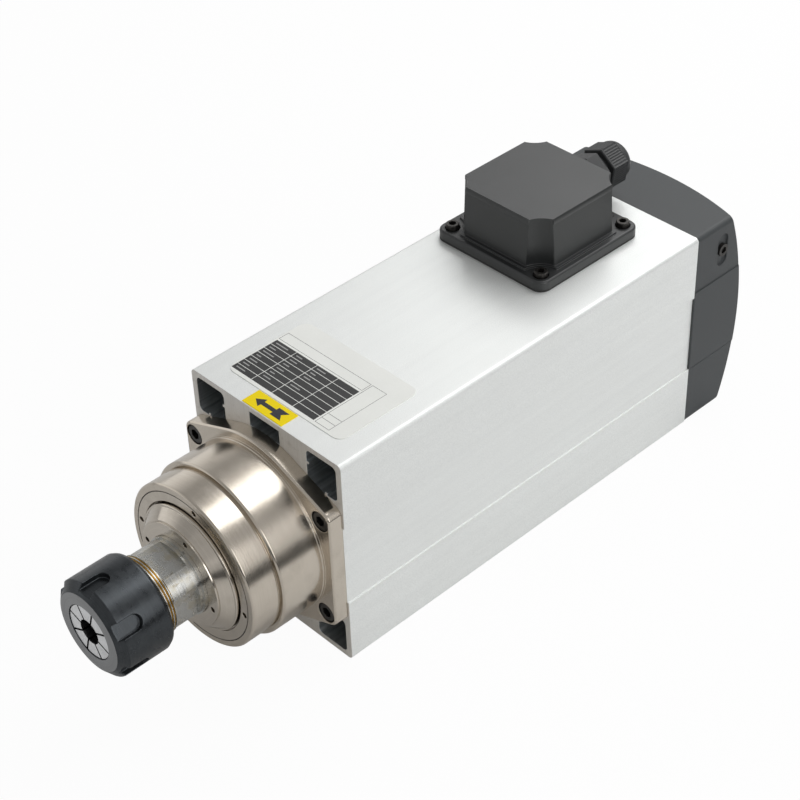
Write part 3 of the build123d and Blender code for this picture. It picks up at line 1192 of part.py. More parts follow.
write("collet_nut", collet_nut())
write("stator_core", stator_core())
write("stator_winding", stator_winding())
write("motor_leads", motor_leads())
write("rotor_core", rotor_core())
write("rotor_cage", rotor_cage())
write("rear_bearing_housing", rear_bearing_housing())
write("rear_flange_screws", flange_screws(SHIELD_FACE, REAR_LUG_X, -90))
write("rear_bearing_outer_ring", rear_rings[1])
write("rear_bearing_inner_ring", rear_rings[0])
write(
    "rear_bearing_balls",
    ball_row(REAR_BEARING + REAR_BEARING_WIDTH / 2, rear_circle, REAR_BALL_COUNT, REAR_BALL_DIAMETER),
)
write(
    "rear_bearing_cage",
    cage(
        REAR_BEARING + REAR_BEARING_WIDTH / 2,
        REAR_BEARING_BORE,
        REAR_BEARING_OUTSIDE,
        REAR_BALL_COUNT,
        REAR_BALL_DIAMETER,
    ),
)
write("preload_wave_spring", preload_wave_spring())
write("rear_lock_nut", rear_lock_nut())
write("cooling_fan", cooling_fan())
write("fan_key", fan_key())
write("fan_circlip", fan_circlip())
write("fan_cover", fan_cover())
write("fan_cover_screws", fan_cover_screws())
write("junction_box", junction_box())
write("junction_box_gasket", junction_box_gasket())
write("junction_box_screws", junction_box_screws())
write("terminal_block", terminal_block())
write("terminal_screws", terminal_screws())
write("earth_screw", earth_screw())
write("gland_body", gland_body())
write("gland_o_ring", gland_o_ring())
write("gland_locknut", gland_locknut())
write("gland_seal", gland_seal())
write("gland_dome_nut", gland_dome_nut())
write("rating_plate", rating_plate())
write("direction_label", direction_label())
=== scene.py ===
# %% [markdown]
# A motor spindle for a router: a square aluminium motor body with a turned steel nose, a spring
# collet in its nut, a junction box with a cable gland on top and a moulded fan cover at the back.
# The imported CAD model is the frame. It is already the right size and in the right place, so this
# script only adds what the eye wants: broken edges, knurls, printed labels and real finishes.

# %% Load the frame
import json
import math

import bmesh
import bpy
from mathutils import Matrix, Vector

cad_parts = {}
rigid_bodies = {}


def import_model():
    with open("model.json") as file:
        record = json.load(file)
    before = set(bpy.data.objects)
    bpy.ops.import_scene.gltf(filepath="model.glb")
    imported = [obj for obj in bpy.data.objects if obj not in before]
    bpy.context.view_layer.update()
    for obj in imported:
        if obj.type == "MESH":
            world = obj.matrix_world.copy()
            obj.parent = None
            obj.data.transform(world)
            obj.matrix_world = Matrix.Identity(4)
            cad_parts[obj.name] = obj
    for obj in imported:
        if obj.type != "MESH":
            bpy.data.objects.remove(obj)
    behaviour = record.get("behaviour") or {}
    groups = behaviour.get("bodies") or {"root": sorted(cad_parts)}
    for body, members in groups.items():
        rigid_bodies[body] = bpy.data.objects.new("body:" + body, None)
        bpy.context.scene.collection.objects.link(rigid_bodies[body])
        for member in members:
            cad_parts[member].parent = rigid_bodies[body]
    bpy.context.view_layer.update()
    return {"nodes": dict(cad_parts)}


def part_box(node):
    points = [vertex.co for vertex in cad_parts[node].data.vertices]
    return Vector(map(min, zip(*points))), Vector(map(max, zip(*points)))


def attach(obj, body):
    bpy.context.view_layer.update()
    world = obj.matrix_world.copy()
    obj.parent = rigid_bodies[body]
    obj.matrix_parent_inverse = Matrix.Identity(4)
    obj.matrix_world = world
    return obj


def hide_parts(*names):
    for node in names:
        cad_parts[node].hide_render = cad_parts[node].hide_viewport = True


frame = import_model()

print("CAD nodes:", len(frame["nodes"]))

# %% [markdown]
# Everything is measured from the frame. The box of a CAD node gives its lowest and highest
# corner, so the spindle's axis is the middle of the motor body, and the gland and the nose say for
# themselves where they are.

# %% Places read from the frame
MM = 0.001
body_low, body_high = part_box("housing_extrusion")
nose_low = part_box("front_bearing_housing")[0]
shaft_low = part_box("spindle_shaft")[0]
nut_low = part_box("collet_nut")[0]
gland_low, gland_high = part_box("gland_dome_nut")
AXIS = Vector((0.0, 0.0, (body_low.z + body_high.z) / 2))
GLAND_AXIS = (gland_low + gland_high) / 2


def from_axis(place):
    """How far a place is from the spindle's axis."""
    return Vector((place.x, 0, place.z - AXIS.z)).length


print("spindle axis height", round(AXIS.z / MM, 1), "mm")
print("gland axis height", round(GLAND_AXIS.z / MM, 1), "mm")

# %% [markdown]
# The camera comes before the pieces, because it decides which details are worth making. Its
# place was worked out from the body's long edges and the circles of the nose. A long lens from
# about a metre away keeps the square body from looking tapered.

# %% Camera
camera_data = bpy.data.cameras.new("camera")
camera_data.sensor_width = 36.0
camera_data.lens = 87.39
camera = bpy.data.objects.new("camera", camera_data)
camera.location = (0.5430, -0.5404, 0.6709)
camera.rotation_euler = [math.radians(angle) for angle in (51.383, 1.641, 45.942)]
bpy.context.scene.collection.objects.link(camera)
bpy.context.scene.camera = camera
bpy.context.scene.view_settings.view_transform = "Standard"
print("camera", round(camera.location.length, 2), "m from the origin, lens", camera_data.lens, "mm")

# %% [markdown]
# A shader is a small graph of nodes, and building one takes many lines. These helpers keep that
# readable: one starts a finish with its fixed values, one adds a node, one sets or links an
# input, and one says how many nodes a finish ended up with.

# %% Helpers for shader nodes
def new_finish(name, **fixed):
    """A material whose fixed values are set on the shader's own sockets."""
    material = bpy.data.materials.new(name)
    material.use_nodes = True
    shader = material.node_tree.nodes["Principled BSDF"]
    for socket, value in fixed.items():
        shader.inputs[socket.replace("_", " ")].default_value = value
    return material


def shader_of(material):
    return material.node_tree.nodes["Principled BSDF"]


def add(material, kind, **values):
    """Adds a node. Lower-case words are its settings, numbers and sockets fill its inputs."""
    node = material.node_tree.nodes.new("ShaderNode" + kind)
    for key, value in values.items():
        if key[0].islower():
            setattr(node, key, value)
        else:
            feed(material, value, node.inputs[key.replace("_", " ")])
    return node


def feed(material, value, socket):
    """Sets an input, or links it where the value is another node's output."""
    if isinstance(value, bpy.types.NodeSocket):
        material.node_tree.links.new(value, socket)
    else:
        socket.default_value = value


def tell(*finishes):
    """Prints how many nodes each finish has."""
    print(", ".join(f"{finish.name}: {len(finish.node_tree.nodes)} nodes" for finish in finishes))


# %% [markdown]
# The patterns come next. Each one is read from a place on the object, in metres, so it stays with
# the piece wherever the piece goes. A noise gives the pattern, and the other helpers stretch it
# to a range, turn it into a colour, mix two colours or shaders, or use it as relief.

# %% Helpers for patterns
def place_on(material, centre=(0, 0, 0), stretch=(1, 1, 1)):
    """Object coordinates measured from a centre, and stretched along each axis."""
    shift = [-c * s for c, s in zip(centre, stretch)]
    start = add(material, "TexCoord")
    mapping = add(material, "Mapping", Vector=start.outputs["Object"], Location=shift, Scale=stretch)
    return mapping.outputs["Vector"]


def noise_at(material, vector, scale, detail=2.0, rough=0.5):
    noise = add(material, "TexNoise", Vector=vector, Scale=scale, Detail=detail, Roughness=rough)
    return noise.outputs["Fac"]


def grain(material, scale, detail=2.0, rough=0.5, **place):
    """A noise pattern from 0 to 1. The scale is in grains per metre."""
    return noise_at(material, place_on(material, **place), scale, detail, rough)


def math_on(material, operation, first, second=0.0):
    node = add(material, "Math", operation=operation)
    feed(material, first, node.inputs[0])
    feed(material, second, node.inputs[1])
    return node.outputs["Value"]


def spread(material, value, low, high, start=0.3, end=0.7):
    """Stretches the middle of a noise to the range from low to high."""
    node = add(material, "MapRange", Value=value, From_Min=start, From_Max=end, To_Min=low, To_Max=high)
    return node.outputs["Result"]


def ramp(material, value, *stops):
    """A colour ramp through (place, colour) stops."""
    node = add(material, "ValToRGB", Fac=value)
    elements = node.color_ramp.elements
    for element, (place, colour) in zip(elements, stops):
        element.position = place
        element.color = (*colour, 1.0)
    for place, colour in stops[len(elements):]:
        elements.new(place).color = (*colour, 1.0)
    return node.outputs["Color"]


def blend_colours(material, amount, first, second):
    """The first colour where the amount is 0, and the second where it is 1."""
    node = add(material, "Mix", data_type="RGBA")
    feed(material, amount, node.inputs[0])
    feed(material, first, node.inputs[6])
    feed(material, (*second, 1.0), node.inputs[7])
    return node.outputs[2]


def mix_shaders(material, amount, first, second):
    node = add(material, "MixShader", Fac=amount)
    feed(material, first, node.inputs[1])
    feed(material, second, node.inputs[2])
    return node.outputs["Shader"]


def relief(material, height, depth, strength=1.0):
    """Small relief that moves the shading only. Depth is in metres, and reliefs stack."""
    shader = shader_of(material)
    bump = add(material, "Bump", Height=height, Distance=depth, Strength=strength)
    if shader.inputs["Normal"].links:
        feed(material, shader.inputs["Normal"].links[0].from_socket, bump.inputs["Normal"])
    feed(material, bump.outputs["Normal"], shader.inputs["Normal"])


def colour_it(material, colour):
    feed(material, colour, shader_of(material).inputs["Base Color"])


def roughen(material, value):
    feed(material, value, shader_of(material).inputs["Roughness"])


# %% [markdown]
# Turned parts carry the marks of the lathe: fine rings round the axis, on the faces as well as on
# the cylinders. Rings like that depend on only two numbers, the distance from the axis and the
# place along it. A noise read from those two numbers gives rings everywhere at once. The same
# rings make the highlight stretch across them, which is what the shader's anisotropy does when
# it is given the direction that the tool moved in.

# %% Lathe coordinates
def lathe_place(material):
    """(distance from the spindle's axis, place along it, 0) as a vector."""
    flat = add(material, "VectorMath", operation="MULTIPLY")
    feed(material, place_on(material, AXIS), flat.inputs[0])
    flat.inputs[1].default_value = (1, 0, 1)
    radius = add(material, "VectorMath", operation="LENGTH")
    feed(material, flat.outputs["Vector"], radius.inputs[0])
    along = add(material, "SeparateXYZ", Vector=place_on(material, AXIS)).outputs["Y"]
    return add(material, "CombineXYZ", X=radius.outputs["Value"], Y=along).outputs["Vector"]


def follow_the_tool(material):
    """Turns the anisotropic highlight with the rings of a turned part."""
    round_axis = add(material, "VectorMath", operation="CROSS_PRODUCT")
    round_axis.inputs[0].default_value = (0, 1, 0)
    feed(material, place_on(material, AXIS), round_axis.inputs[1])
    in_world = add(
        material, "VectorTransform", vector_type="VECTOR", convert_from="OBJECT", convert_to="WORLD")
    feed(material, round_axis.outputs["Vector"], in_world.inputs["Vector"])
    feed(material, in_world.outputs["Vector"], shader_of(material).inputs["Tangent"])


def ring_marks(material, vector, pitch):
    """Turning marks: a noise that changes along the radius and the axis only."""
    return noise_at(material, vector, 1 / pitch)


# %% [markdown]
# The motor body is one aluminium extrusion, bead blasted to a fine silver-white. Up close it has
# two scales: a fine blasted grain, and very faint lines along its length from the die. Both come
# from noise, and the second noise is stretched a hundred times along Y. The sawn ends are
# slightly warm and matt, and inside the ducts the metal was never blasted.

# %% Finish: motor body
blasted = new_finish("blasted_aluminium", Metallic=0.45, Specular_IOR_Level=0.5)
fine_grain = grain(blasted, 2400, 2.0)
die_lines = grain(blasted, 1.0, 3.0, stretch=(260, 2.5, 260))
cloud = grain(blasted, 22, 3.0)
silver = ramp(blasted, fine_grain, (0.30, (0.78, 0.80, 0.785)), (0.70, (0.94, 0.955, 0.94)))
streak = spread(blasted, die_lines, 0.0, 0.12)
streaked = blend_colours(blasted, streak, silver, (0.63, 0.64, 0.64))
haze = spread(blasted, cloud, 0.0, 0.10)
colour_it(blasted, blend_colours(blasted, haze, streaked, (0.70, 0.70, 0.68)))
roughen(blasted, spread(blasted, fine_grain, 0.40, 0.54))
relief(blasted, fine_grain, 0.00012, 0.45)
relief(blasted, die_lines, 0.00004, 0.15)

sawn = new_finish("sawn_aluminium", Metallic=0.35)
saw_lines = grain(sawn, 1.0, 3.0, stretch=(900, 40, 40))
saw_spots = grain(sawn, 260, 3.0)
sawn_colour = ramp(sawn, saw_lines, (0.25, (0.70, 0.67, 0.62)), (0.75, (0.80, 0.775, 0.73)))
spotted = spread(sawn, saw_spots, 0.0, 0.5, 0.58, 0.72)
colour_it(sawn, blend_colours(sawn, spotted, sawn_colour, (0.56, 0.53, 0.48)))
roughen(sawn, spread(sawn, saw_lines, 0.28, 0.42))
relief(sawn, saw_lines, 0.00005, 0.4)

duct = new_finish("duct_aluminium", Metallic=0.9)
duct_lines = grain(duct, 1.0, 3.0, stretch=(700, 5, 700))
duct_grey = ramp(duct, duct_lines, (0.3, (0.40, 0.43, 0.44)), (0.7, (0.60, 0.63, 0.64)))
colour_it(duct, duct_grey)
roughen(duct, spread(duct, duct_lines, 0.30, 0.48))
relief(duct, duct_lines, 0.00008, 0.4)
tell(blasted, sawn, duct)

# %% [markdown]
# The nose is turned from steel with a warm, slightly golden plating. Broad soft reflections run
# along it, and the turning marks break them up. Three noises share the work: fine rings for the
# marks, wide rings for tool passes that came out a little lighter or darker, and a slow cloudy
# pattern for handling stains.

# %% Finish: turned nose
MARK_PITCH = 0.00022
PASS_PITCH = MARK_PITCH * 14


def turned_metal(name, dark, light, stain, rough):
    """Turned metal with ring marks, passes of slightly different colour, and faint stains."""
    metal = new_finish(name, Metallic=1.0, Anisotropic=0.45, Anisotropic_Rotation=0.25)
    place = lathe_place(metal)
    marks = ring_marks(metal, place, MARK_PITCH)
    passes = ring_marks(metal, place, PASS_PITCH)
    stains = grain(metal, 85, 4.0, 0.62, centre=AXIS)
    ground = ramp(metal, marks, (0.28, dark), (0.72, light))
    banded = blend_colours(metal, spread(metal, passes, 0.0, 0.25), ground, dark)
    amount = spread(metal, stains, 0.0, 0.35, 0.52, 0.78)
    colour_it(metal, blend_colours(metal, amount, banded, stain))
    worn = spread(metal, stains, 0.0, 0.06)
    roughen(metal, math_on(metal, "ADD", spread(metal, marks, rough, rough + 0.04), worn))
    relief(metal, marks, 0.00003, 0.10)
    follow_the_tool(metal)
    return metal


nose_steel = turned_metal(
    "nose_steel", (0.60, 0.54, 0.46), (0.67, 0.61, 0.53), (0.40, 0.35, 0.29), 0.15)
ring_steel = turned_metal(
    "ring_steel", (0.58, 0.53, 0.46), (0.68, 0.62, 0.54), (0.34, 0.30, 0.25), 0.13)

# Painted shade: near-black steel for the walls of the flange's screw holes and the ring's groove.
recess_shade_steel = new_finish("recess_shade_steel", Metallic=0.9)
recess_shade_noise = grain(recess_shade_steel, 900, 3.0)
recess_shade_grey = ramp(recess_shade_steel, recess_shade_noise, (0.3, (0.05, 0.047, 0.042)), (0.75, (0.22, 0.20, 0.17)))
colour_it(recess_shade_steel, recess_shade_grey)
roughen(recess_shade_steel, spread(recess_shade_steel, recess_shade_noise, 0.3, 0.5))
tell(nose_steel, ring_steel, recess_shade_steel)

# %% [markdown]
# The shaft's nose is ground and then handled with oily fingers. It has bright flats, yellow-brown
# stains that gather near the shoulders, and a thread whose grooves still hold golden oil. The
# thread is found by its place: far enough forward along Y, and below the crest's radius.

# %% Finish: shaft
shaft_steel = new_finish("shaft_steel", Metallic=1.0, Anisotropic=0.5, Anisotropic_Rotation=0.25)
shaft_place = lathe_place(shaft_steel)
shaft_parts = add(shaft_steel, "SeparateXYZ", Vector=shaft_place)
shaft_marks = ring_marks(shaft_steel, shaft_place, 0.00030)
oil = grain(shaft_steel, 130, 5.0, 0.65, centre=AXIS)
thin_oil = grain(shaft_steel, 320, 4.0, 0.6, centre=AXIS, stretch=(1, 0.35, 1))
bright_steel = ramp(shaft_steel, shaft_marks, (0.25, (0.45, 0.45, 0.43)), (0.75, (0.60, 0.60, 0.58)))
oil_film = spread(shaft_steel, oil, 0.0, 0.50, 0.50, 0.66)
oily = blend_colours(shaft_steel, oil_film, bright_steel, (0.46, 0.40, 0.27))
spots = spread(shaft_steel, thin_oil, 0.0, 0.80, 0.60, 0.74)
oily = blend_colours(shaft_steel, spots, oily, (0.22, 0.17, 0.08))
THREAD_REAR = shaft_low.y + 26.2 * MM
THREAD_GROOVE = 19.7 * MM
along_thread = math_on(shaft_steel, "LESS_THAN", shaft_parts.outputs["Y"], THREAD_REAR)
in_groove = math_on(shaft_steel, "LESS_THAN", shaft_parts.outputs["X"], THREAD_GROOVE)
golden = math_on(shaft_steel, "MULTIPLY", along_thread, in_groove)
colour_it(shaft_steel, blend_colours(shaft_steel, golden, oily, (0.50, 0.36, 0.13)))
ground = spread(shaft_steel, shaft_marks, 0.0, 0.06)
roughen(shaft_steel, math_on(shaft_steel, "ADD", spread(shaft_steel, oil, 0.12, 0.34), ground))
relief(shaft_steel, shaft_marks, 0.00002, 0.3)
follow_the_tool(shaft_steel)
tell(shaft_steel)

# %% [markdown]
# The collet nut is hardened steel with a dark blue-grey oxide, satin rather than shiny. Its flat
# front is ground after hardening and shows lighter. Handling leaves a faint mottling, so the
# roughness changes a little from place to place. The collet is pale on its front, and its slits
# and its bore are painted dark as shade.

# %% Finish: collet nut and collet
def oxide_and_shade_steel(name, dark, light, rough):
    steel = new_finish(name, Metallic=0.9, Anisotropic=0.5, Anisotropic_Rotation=0.25)
    marks = ring_marks(steel, lathe_place(steel), 0.00028)
    mottle = grain(steel, 240, 4.0, 0.6, centre=AXIS)
    tone = math_on(steel, "ADD", spread(steel, marks, 0.0, 0.5), spread(steel, mottle, 0.0, 0.5))
    colour_it(steel, ramp(steel, tone, (0.0, dark), (1.0, light)))
    roughen(steel, spread(steel, mottle, rough, rough + 0.14))
    relief(steel, marks, 0.00002, 0.25)
    follow_the_tool(steel)
    return steel


nut_oxide = oxide_and_shade_steel("nut_oxide", (0.045, 0.050, 0.055), (0.072, 0.078, 0.083), 0.24)
nut_face = oxide_and_shade_steel("nut_face", (0.25, 0.255, 0.26), (0.36, 0.365, 0.37), 0.32)
collet_steel = turned_metal(
    "collet_steel", (0.84, 0.85, 0.86), (0.95, 0.96, 0.96), (0.55, 0.54, 0.52), 0.34)
shader_of(collet_steel).inputs["Metallic"].default_value = 0.7
# Painted shade: a near-black steel for the collet's slits and bore.
collet_painted_shade = oxide_and_shade_steel("collet_painted_shade", (0.030, 0.030, 0.032), (0.11, 0.11, 0.11), 0.30)
tell(nut_oxide, nut_face, collet_steel, collet_painted_shade)

# %% [markdown]
# Three plastics meet the eye. The junction box is a satin black with a fine moulded texture, the
# gland is a slightly softer nylon, and the fan cover is a dark grey with a coarser grain. One
# helper makes them all: a colour that drifts slightly, a fine grain in roughness and relief, and
# slow flow marks from the mould.

# %% Finish: moulded plastics
def moulded(name, dark, light, rough, grain_size, depth, specular=0.5):
    """A plastic: two greys or colours, its roughness, and the size and depth of its grain."""
    plastic = new_finish(name, Metallic=0.0, Specular_IOR_Level=specular)
    texture = grain(plastic, 1 / grain_size, 2.0)
    flow = grain(plastic, 30, 4.0, 0.6)
    drift = spread(plastic, flow, 0.0, 0.55)
    tone = math_on(plastic, "ADD", spread(plastic, texture, 0.0, 0.45), drift)
    colour_it(plastic, ramp(plastic, tone, (0.0, dark), (1.0, light)))
    skin = spread(plastic, texture, rough, rough + 0.10)
    roughen(plastic, math_on(plastic, "ADD", skin, spread(plastic, flow, 0.0, 0.06)))
    relief(plastic, texture, depth, 0.35)
    return plastic


box_plastic = moulded(
    "box_plastic", (0.010, 0.011, 0.012), (0.017, 0.019, 0.019), 0.33, 0.35 * MM, 0.06 * MM, 0.78)
gland_nylon = moulded(
    "gland_nylon", (0.020, 0.021, 0.022), (0.034, 0.036, 0.037), 0.40, 0.30 * MM, 0.05 * MM)
cover_plastic = moulded(
    "cover_plastic", (0.037, 0.041, 0.043), (0.050, 0.055, 0.058), 0.43, 0.55 * MM, 0.10 * MM)
fan_plastic = moulded(
    "fan_plastic", (0.030, 0.031, 0.033), (0.05, 0.052, 0.055), 0.42, 0.40 * MM, 0.06 * MM)
terminal_plastic = moulded(
    "terminal_plastic", (0.075, 0.068, 0.060), (0.12, 0.11, 0.095), 0.45, 0.40 * MM, 0.05 * MM)
seal_rubber = moulded(
    "seal_rubber", (0.018, 0.018, 0.018), (0.034, 0.034, 0.034), 0.62, 0.45 * MM, 0.08 * MM)
lead_sleeve = moulded(
    "lead_sleeve", (0.055, 0.055, 0.060), (0.10, 0.10, 0.105), 0.50, 0.50 * MM, 0.06 * MM)
tell(box_plastic, gland_nylon, cover_plastic, fan_plastic, terminal_plastic, seal_rubber, lead_sleeve)

# %% [markdown]
# Inside the body are parts that only show when it is taken apart: ground bearing rings, brass
# cages, stacked core steel, copper windings and the cast rotor. They are finished too, with
# patterns that fit how each was made, because the part may be opened in another scene.

# %% Finish: inner parts
bearing_steel = turned_metal(
    "bearing_steel", (0.66, 0.66, 0.66), (0.80, 0.80, 0.80), (0.55, 0.54, 0.52), 0.10)
cage_brass = turned_metal(
    "cage_brass", (0.58, 0.44, 0.20), (0.76, 0.62, 0.33), (0.40, 0.28, 0.12), 0.26)
spring_steel = turned_metal(
    "spring_steel", (0.42, 0.43, 0.45), (0.60, 0.61, 0.62), (0.26, 0.25, 0.24), 0.26)

core_steel = new_finish("core_steel", Metallic=0.9)
sheets = add(
    core_steel, "TexWave", Vector=place_on(core_steel), bands_direction="Y", Scale=320.0,
    Distortion=0.0).outputs["Fac"]
core_noise = grain(core_steel, 300, 3.0)
core_colour = ramp(core_steel, sheets, (0.2, (0.16, 0.16, 0.17)), (0.6, (0.38, 0.38, 0.40)))
rusty = spread(core_steel, core_noise, 0.0, 0.3)
colour_it(core_steel, blend_colours(core_steel, rusty, core_colour, (0.25, 0.20, 0.16)))
roughen(core_steel, spread(core_steel, core_noise, 0.38, 0.55))
relief(core_steel, sheets, 0.00010, 0.5)

copper_wire = new_finish("copper_wire", Metallic=0.9, Coat_Weight=0.5, Coat_Roughness=0.2)
strands = add(
    copper_wire, "TexWave", Vector=lathe_place(copper_wire), bands_direction="X", Scale=420.0,
    Distortion=3.0).outputs["Fac"]
colour_it(copper_wire, ramp(copper_wire, strands, (0.1, (0.26, 0.09, 0.03)), (0.8, (0.72, 0.32, 0.14))))
roughen(copper_wire, spread(copper_wire, strands, 0.22, 0.45, 0.0, 1.0))
relief(copper_wire, strands, 0.00030, 0.6)

cast_alloy = new_finish("cast_alloy", Metallic=0.85)
cast_skin = grain(cast_alloy, 700, 4.0, 0.6)
colour_it(cast_alloy, ramp(cast_alloy, cast_skin, (0.3, (0.50, 0.50, 0.50)), (0.7, (0.70, 0.70, 0.69))))
roughen(cast_alloy, spread(cast_alloy, cast_skin, 0.40, 0.58))
relief(cast_alloy, cast_skin, 0.00012, 0.5)
tell(bearing_steel, cage_brass, spring_steel, core_steel, copper_wire, cast_alloy)

# %% [markdown]
# Screws are small, but four of them look straight at the camera. Black-oxide screws are almost
# black with a faint brown cast and a light wear on the corners; zinc-plated ones are pale and a
# little blue.

# %% Finish: screws
def screw_finish(name, dark, light, rough):
    steel = new_finish(name, Metallic=0.85)
    mottle = grain(steel, 900, 4.0, 0.6)
    colour_it(steel, ramp(steel, mottle, (0.3, dark), (0.75, light)))
    roughen(steel, spread(steel, mottle, rough, rough + 0.16))
    relief(steel, mottle, 0.00003, 0.3)
    return steel


black_oxide = screw_finish("black_oxide", (0.030, 0.029, 0.028), (0.085, 0.080, 0.074), 0.28)
zinc_plate = screw_finish("zinc_plate", (0.50, 0.52, 0.55), (0.70, 0.71, 0.73), 0.24)
tell(black_oxide, zinc_plate)

# %% [markdown]
# The labels are printed film. The film itself is a pale grey with a satin surface, the ink is a
# charcoal grey that isn't perfectly even, and the direction label is a warm yellow. Thin noise
# keeps all three from looking like flat computer colours.

# %% Finish: printed films
def printed_film(name, dark, light, rough, shine=0.4):
    film = new_finish(name, Metallic=0.0, Specular_IOR_Level=shine)
    fibre = grain(film, 1500, 3.0)
    drift = grain(film, 60, 3.0)
    tone = math_on(film, "ADD", spread(film, fibre, 0.0, 0.5), spread(film, drift, 0.0, 0.5))
    colour_it(film, ramp(film, tone, (0.0, dark), (1.0, light)))
    roughen(film, spread(film, fibre, rough, rough + 0.10))
    relief(film, fibre, 0.00002, 0.2)
    return film


grey_film = printed_film("grey_film", (0.88, 0.89, 0.85), (0.94, 0.95, 0.91), 0.36)
charcoal_ink = printed_film("charcoal_ink", (0.028, 0.028, 0.028), (0.044, 0.044, 0.044), 0.45)
line_ink = printed_film("line_ink", (0.16, 0.16, 0.16), (0.24, 0.24, 0.24), 0.36)
mark_ink = printed_film("mark_ink", (0.34, 0.34, 0.335), (0.44, 0.44, 0.43), 0.40)
yellow_film = printed_film("yellow_film", (0.98, 0.73, 0.002), (1.0, 0.80, 0.004), 0.50, 0.2)
blue_black_ink = printed_film("blue_black_ink", (0.016, 0.018, 0.026), (0.030, 0.032, 0.044), 0.34)
tell(grey_film, charcoal_ink, line_ink, mark_ink, yellow_film, blue_black_ink)

# %% [markdown]
# Now the CAD nodes get their finishes. A node's shape stays as it is; only its material slots
# change. Nodes that are replaced further down are in this list as well, so that nothing is left
# in plain grey if a piece is taken away again.

# %% Dress the CAD nodes
FINISHED_NODES = [
    (blasted, "housing_extrusion"),
    (nose_steel, "front_bearing_housing"),
    (ring_steel, "bearing_retainer_ring", "labyrinth_nut"),
    (shaft_steel, "spindle_shaft"),
    (nut_oxide, "collet_nut", "rear_lock_nut"),
    (collet_steel, "collet"),
    (bearing_steel, "front_bearing_outer_rings", "front_bearing_inner_rings", "front_bearing_balls"),
    (bearing_steel, "rear_bearing_outer_ring", "rear_bearing_inner_ring", "rear_bearing_balls"),
    (cage_brass, "front_bearing_cages", "rear_bearing_cage"),
    (spring_steel, "front_outer_spacer", "front_inner_spacer", "preload_wave_spring"),
    (spring_steel, "fan_key", "fan_circlip"),
    (core_steel, "stator_core", "rotor_core"),
    (copper_wire, "stator_winding"),
    (cast_alloy, "rotor_cage", "rear_bearing_housing"),
    (black_oxide, "front_flange_screws", "rear_flange_screws"),
    (black_oxide, "fan_cover_screws", "junction_box_screws"),
    (zinc_plate, "terminal_screws", "earth_screw"),
    (lead_sleeve, "motor_leads"),
    (fan_plastic, "cooling_fan"),
    (cover_plastic, "fan_cover"),
    (box_plastic, "junction_box"),
    (terminal_plastic, "terminal_block"),
    (seal_rubber, "junction_box_gasket", "gland_o_ring", "gland_seal"),
    (gland_nylon, "gland_body", "gland_locknut", "gland_dome_nut"),
    (grey_film, "rating_plate"),
    (yellow_film, "direction_label"),
]
for finish, *names in FINISHED_NODES:
    for name in names:
        slots = frame["nodes"][name].data.materials
        slots.clear()
        slots.append(finish)
dressed = sum(len(names) for finish, *names in FINISHED_NODES)
print("dressed", dressed, "of", len(frame["nodes"]), "CAD nodes")

# %% [markdown]
# A machined part never has a perfectly sharp edge, and a render shows it at once: a broken edge
# catches a thin line of light. The CAD mesh is loose triangles, so a copy is joined up first and
# its flat faces are made whole. Then the bevel tool rounds every edge that turns by more than a
# set angle. Faces of more than four square centimetres are shaded flat, and a Weighted Normal
# modifier keeps the others looking flat beside the new ones.

# %% Helpers for pieces
JOIN_DISTANCE = 0.002 * MM
WIDE_FACE = 400 * MM * MM
FLAT_ANGLE = math.radians(0.6)


def merged_copy(node):
    """A bmesh of a CAD node with its triangles joined and its flat faces whole."""
    work = bmesh.new()
    work.from_mesh(frame["nodes"][node].data)
    bmesh.ops.remove_doubles(work, verts=work.verts, dist=JOIN_DISTANCE)
    bmesh.ops.dissolve_limit(
        work, angle_limit=FLAT_ANGLE, use_dissolve_boundaries=False, verts=work.verts,
        edges=work.edges, delimit=set())
    return work


def break_edges(work, width, segments=2, turn=32.0, where=None):
    """Rounds the edges that turn by more than an angle, or those of them at a chosen place."""
    limit = math.radians(turn)
    edges = [edge for edge in work.edges if edge.is_manifold and edge.calc_face_angle() > limit]
    if where:
        edges = [edge for edge in edges if all(where(vert.co) for vert in edge.verts)]
    bmesh.ops.bevel(
        work, geom=edges, offset=width, offset_type="OFFSET", segments=segments, profile=0.5,
        affect="EDGES", material=-1, clamp_overlap=False, loop_slide=True)
    return len(edges)


def finish_piece(name, work, finishes, body, replaces, smooth_turn=38.0):
    """Makes the object, smooths its shading and tells the frame where it belongs."""
    mesh = bpy.data.meshes.new(name)
    work.to_mesh(mesh)
    work.free()
    for finish in finishes:
        mesh.materials.append(finish)
    mesh.shade_smooth()
    for polygon in mesh.polygons:
        if polygon.area > WIDE_FACE:
            polygon.use_smooth = False
    mesh.set_sharp_from_angle(angle=math.radians(smooth_turn))
    piece = bpy.data.objects.new(name, mesh)
    bpy.context.scene.collection.objects.link(piece)
    even = piece.modifiers.new("even_shading", "WEIGHTED_NORMAL")
    even.keep_sharp = True
    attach(piece, body)
    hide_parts(*replaces)
    print(name, len(mesh.polygons), "faces on", body)


def repeated(stamp, places):
    """One bmesh that holds a copy of a small bmesh at each place."""
    mesh = bpy.data.meshes.new("stamp")
    stamp.to_mesh(mesh)
    stamp.free()
    work = bmesh.new()
    for place in places:
        before = len(work.verts)
        work.from_mesh(mesh)
        work.verts.ensure_lookup_table()
        bmesh.ops.transform(work, matrix=place, verts=work.verts[before:])
    bpy.data.meshes.remove(mesh)
    return work


# %% [markdown]
# The motor body is copied and its edges are broken by a quarter of a millimetre. Its faces then
# get one of three finishes by where they are: the blasted outside, the two sawn ends, and the
# walls of the ducts and the bore.

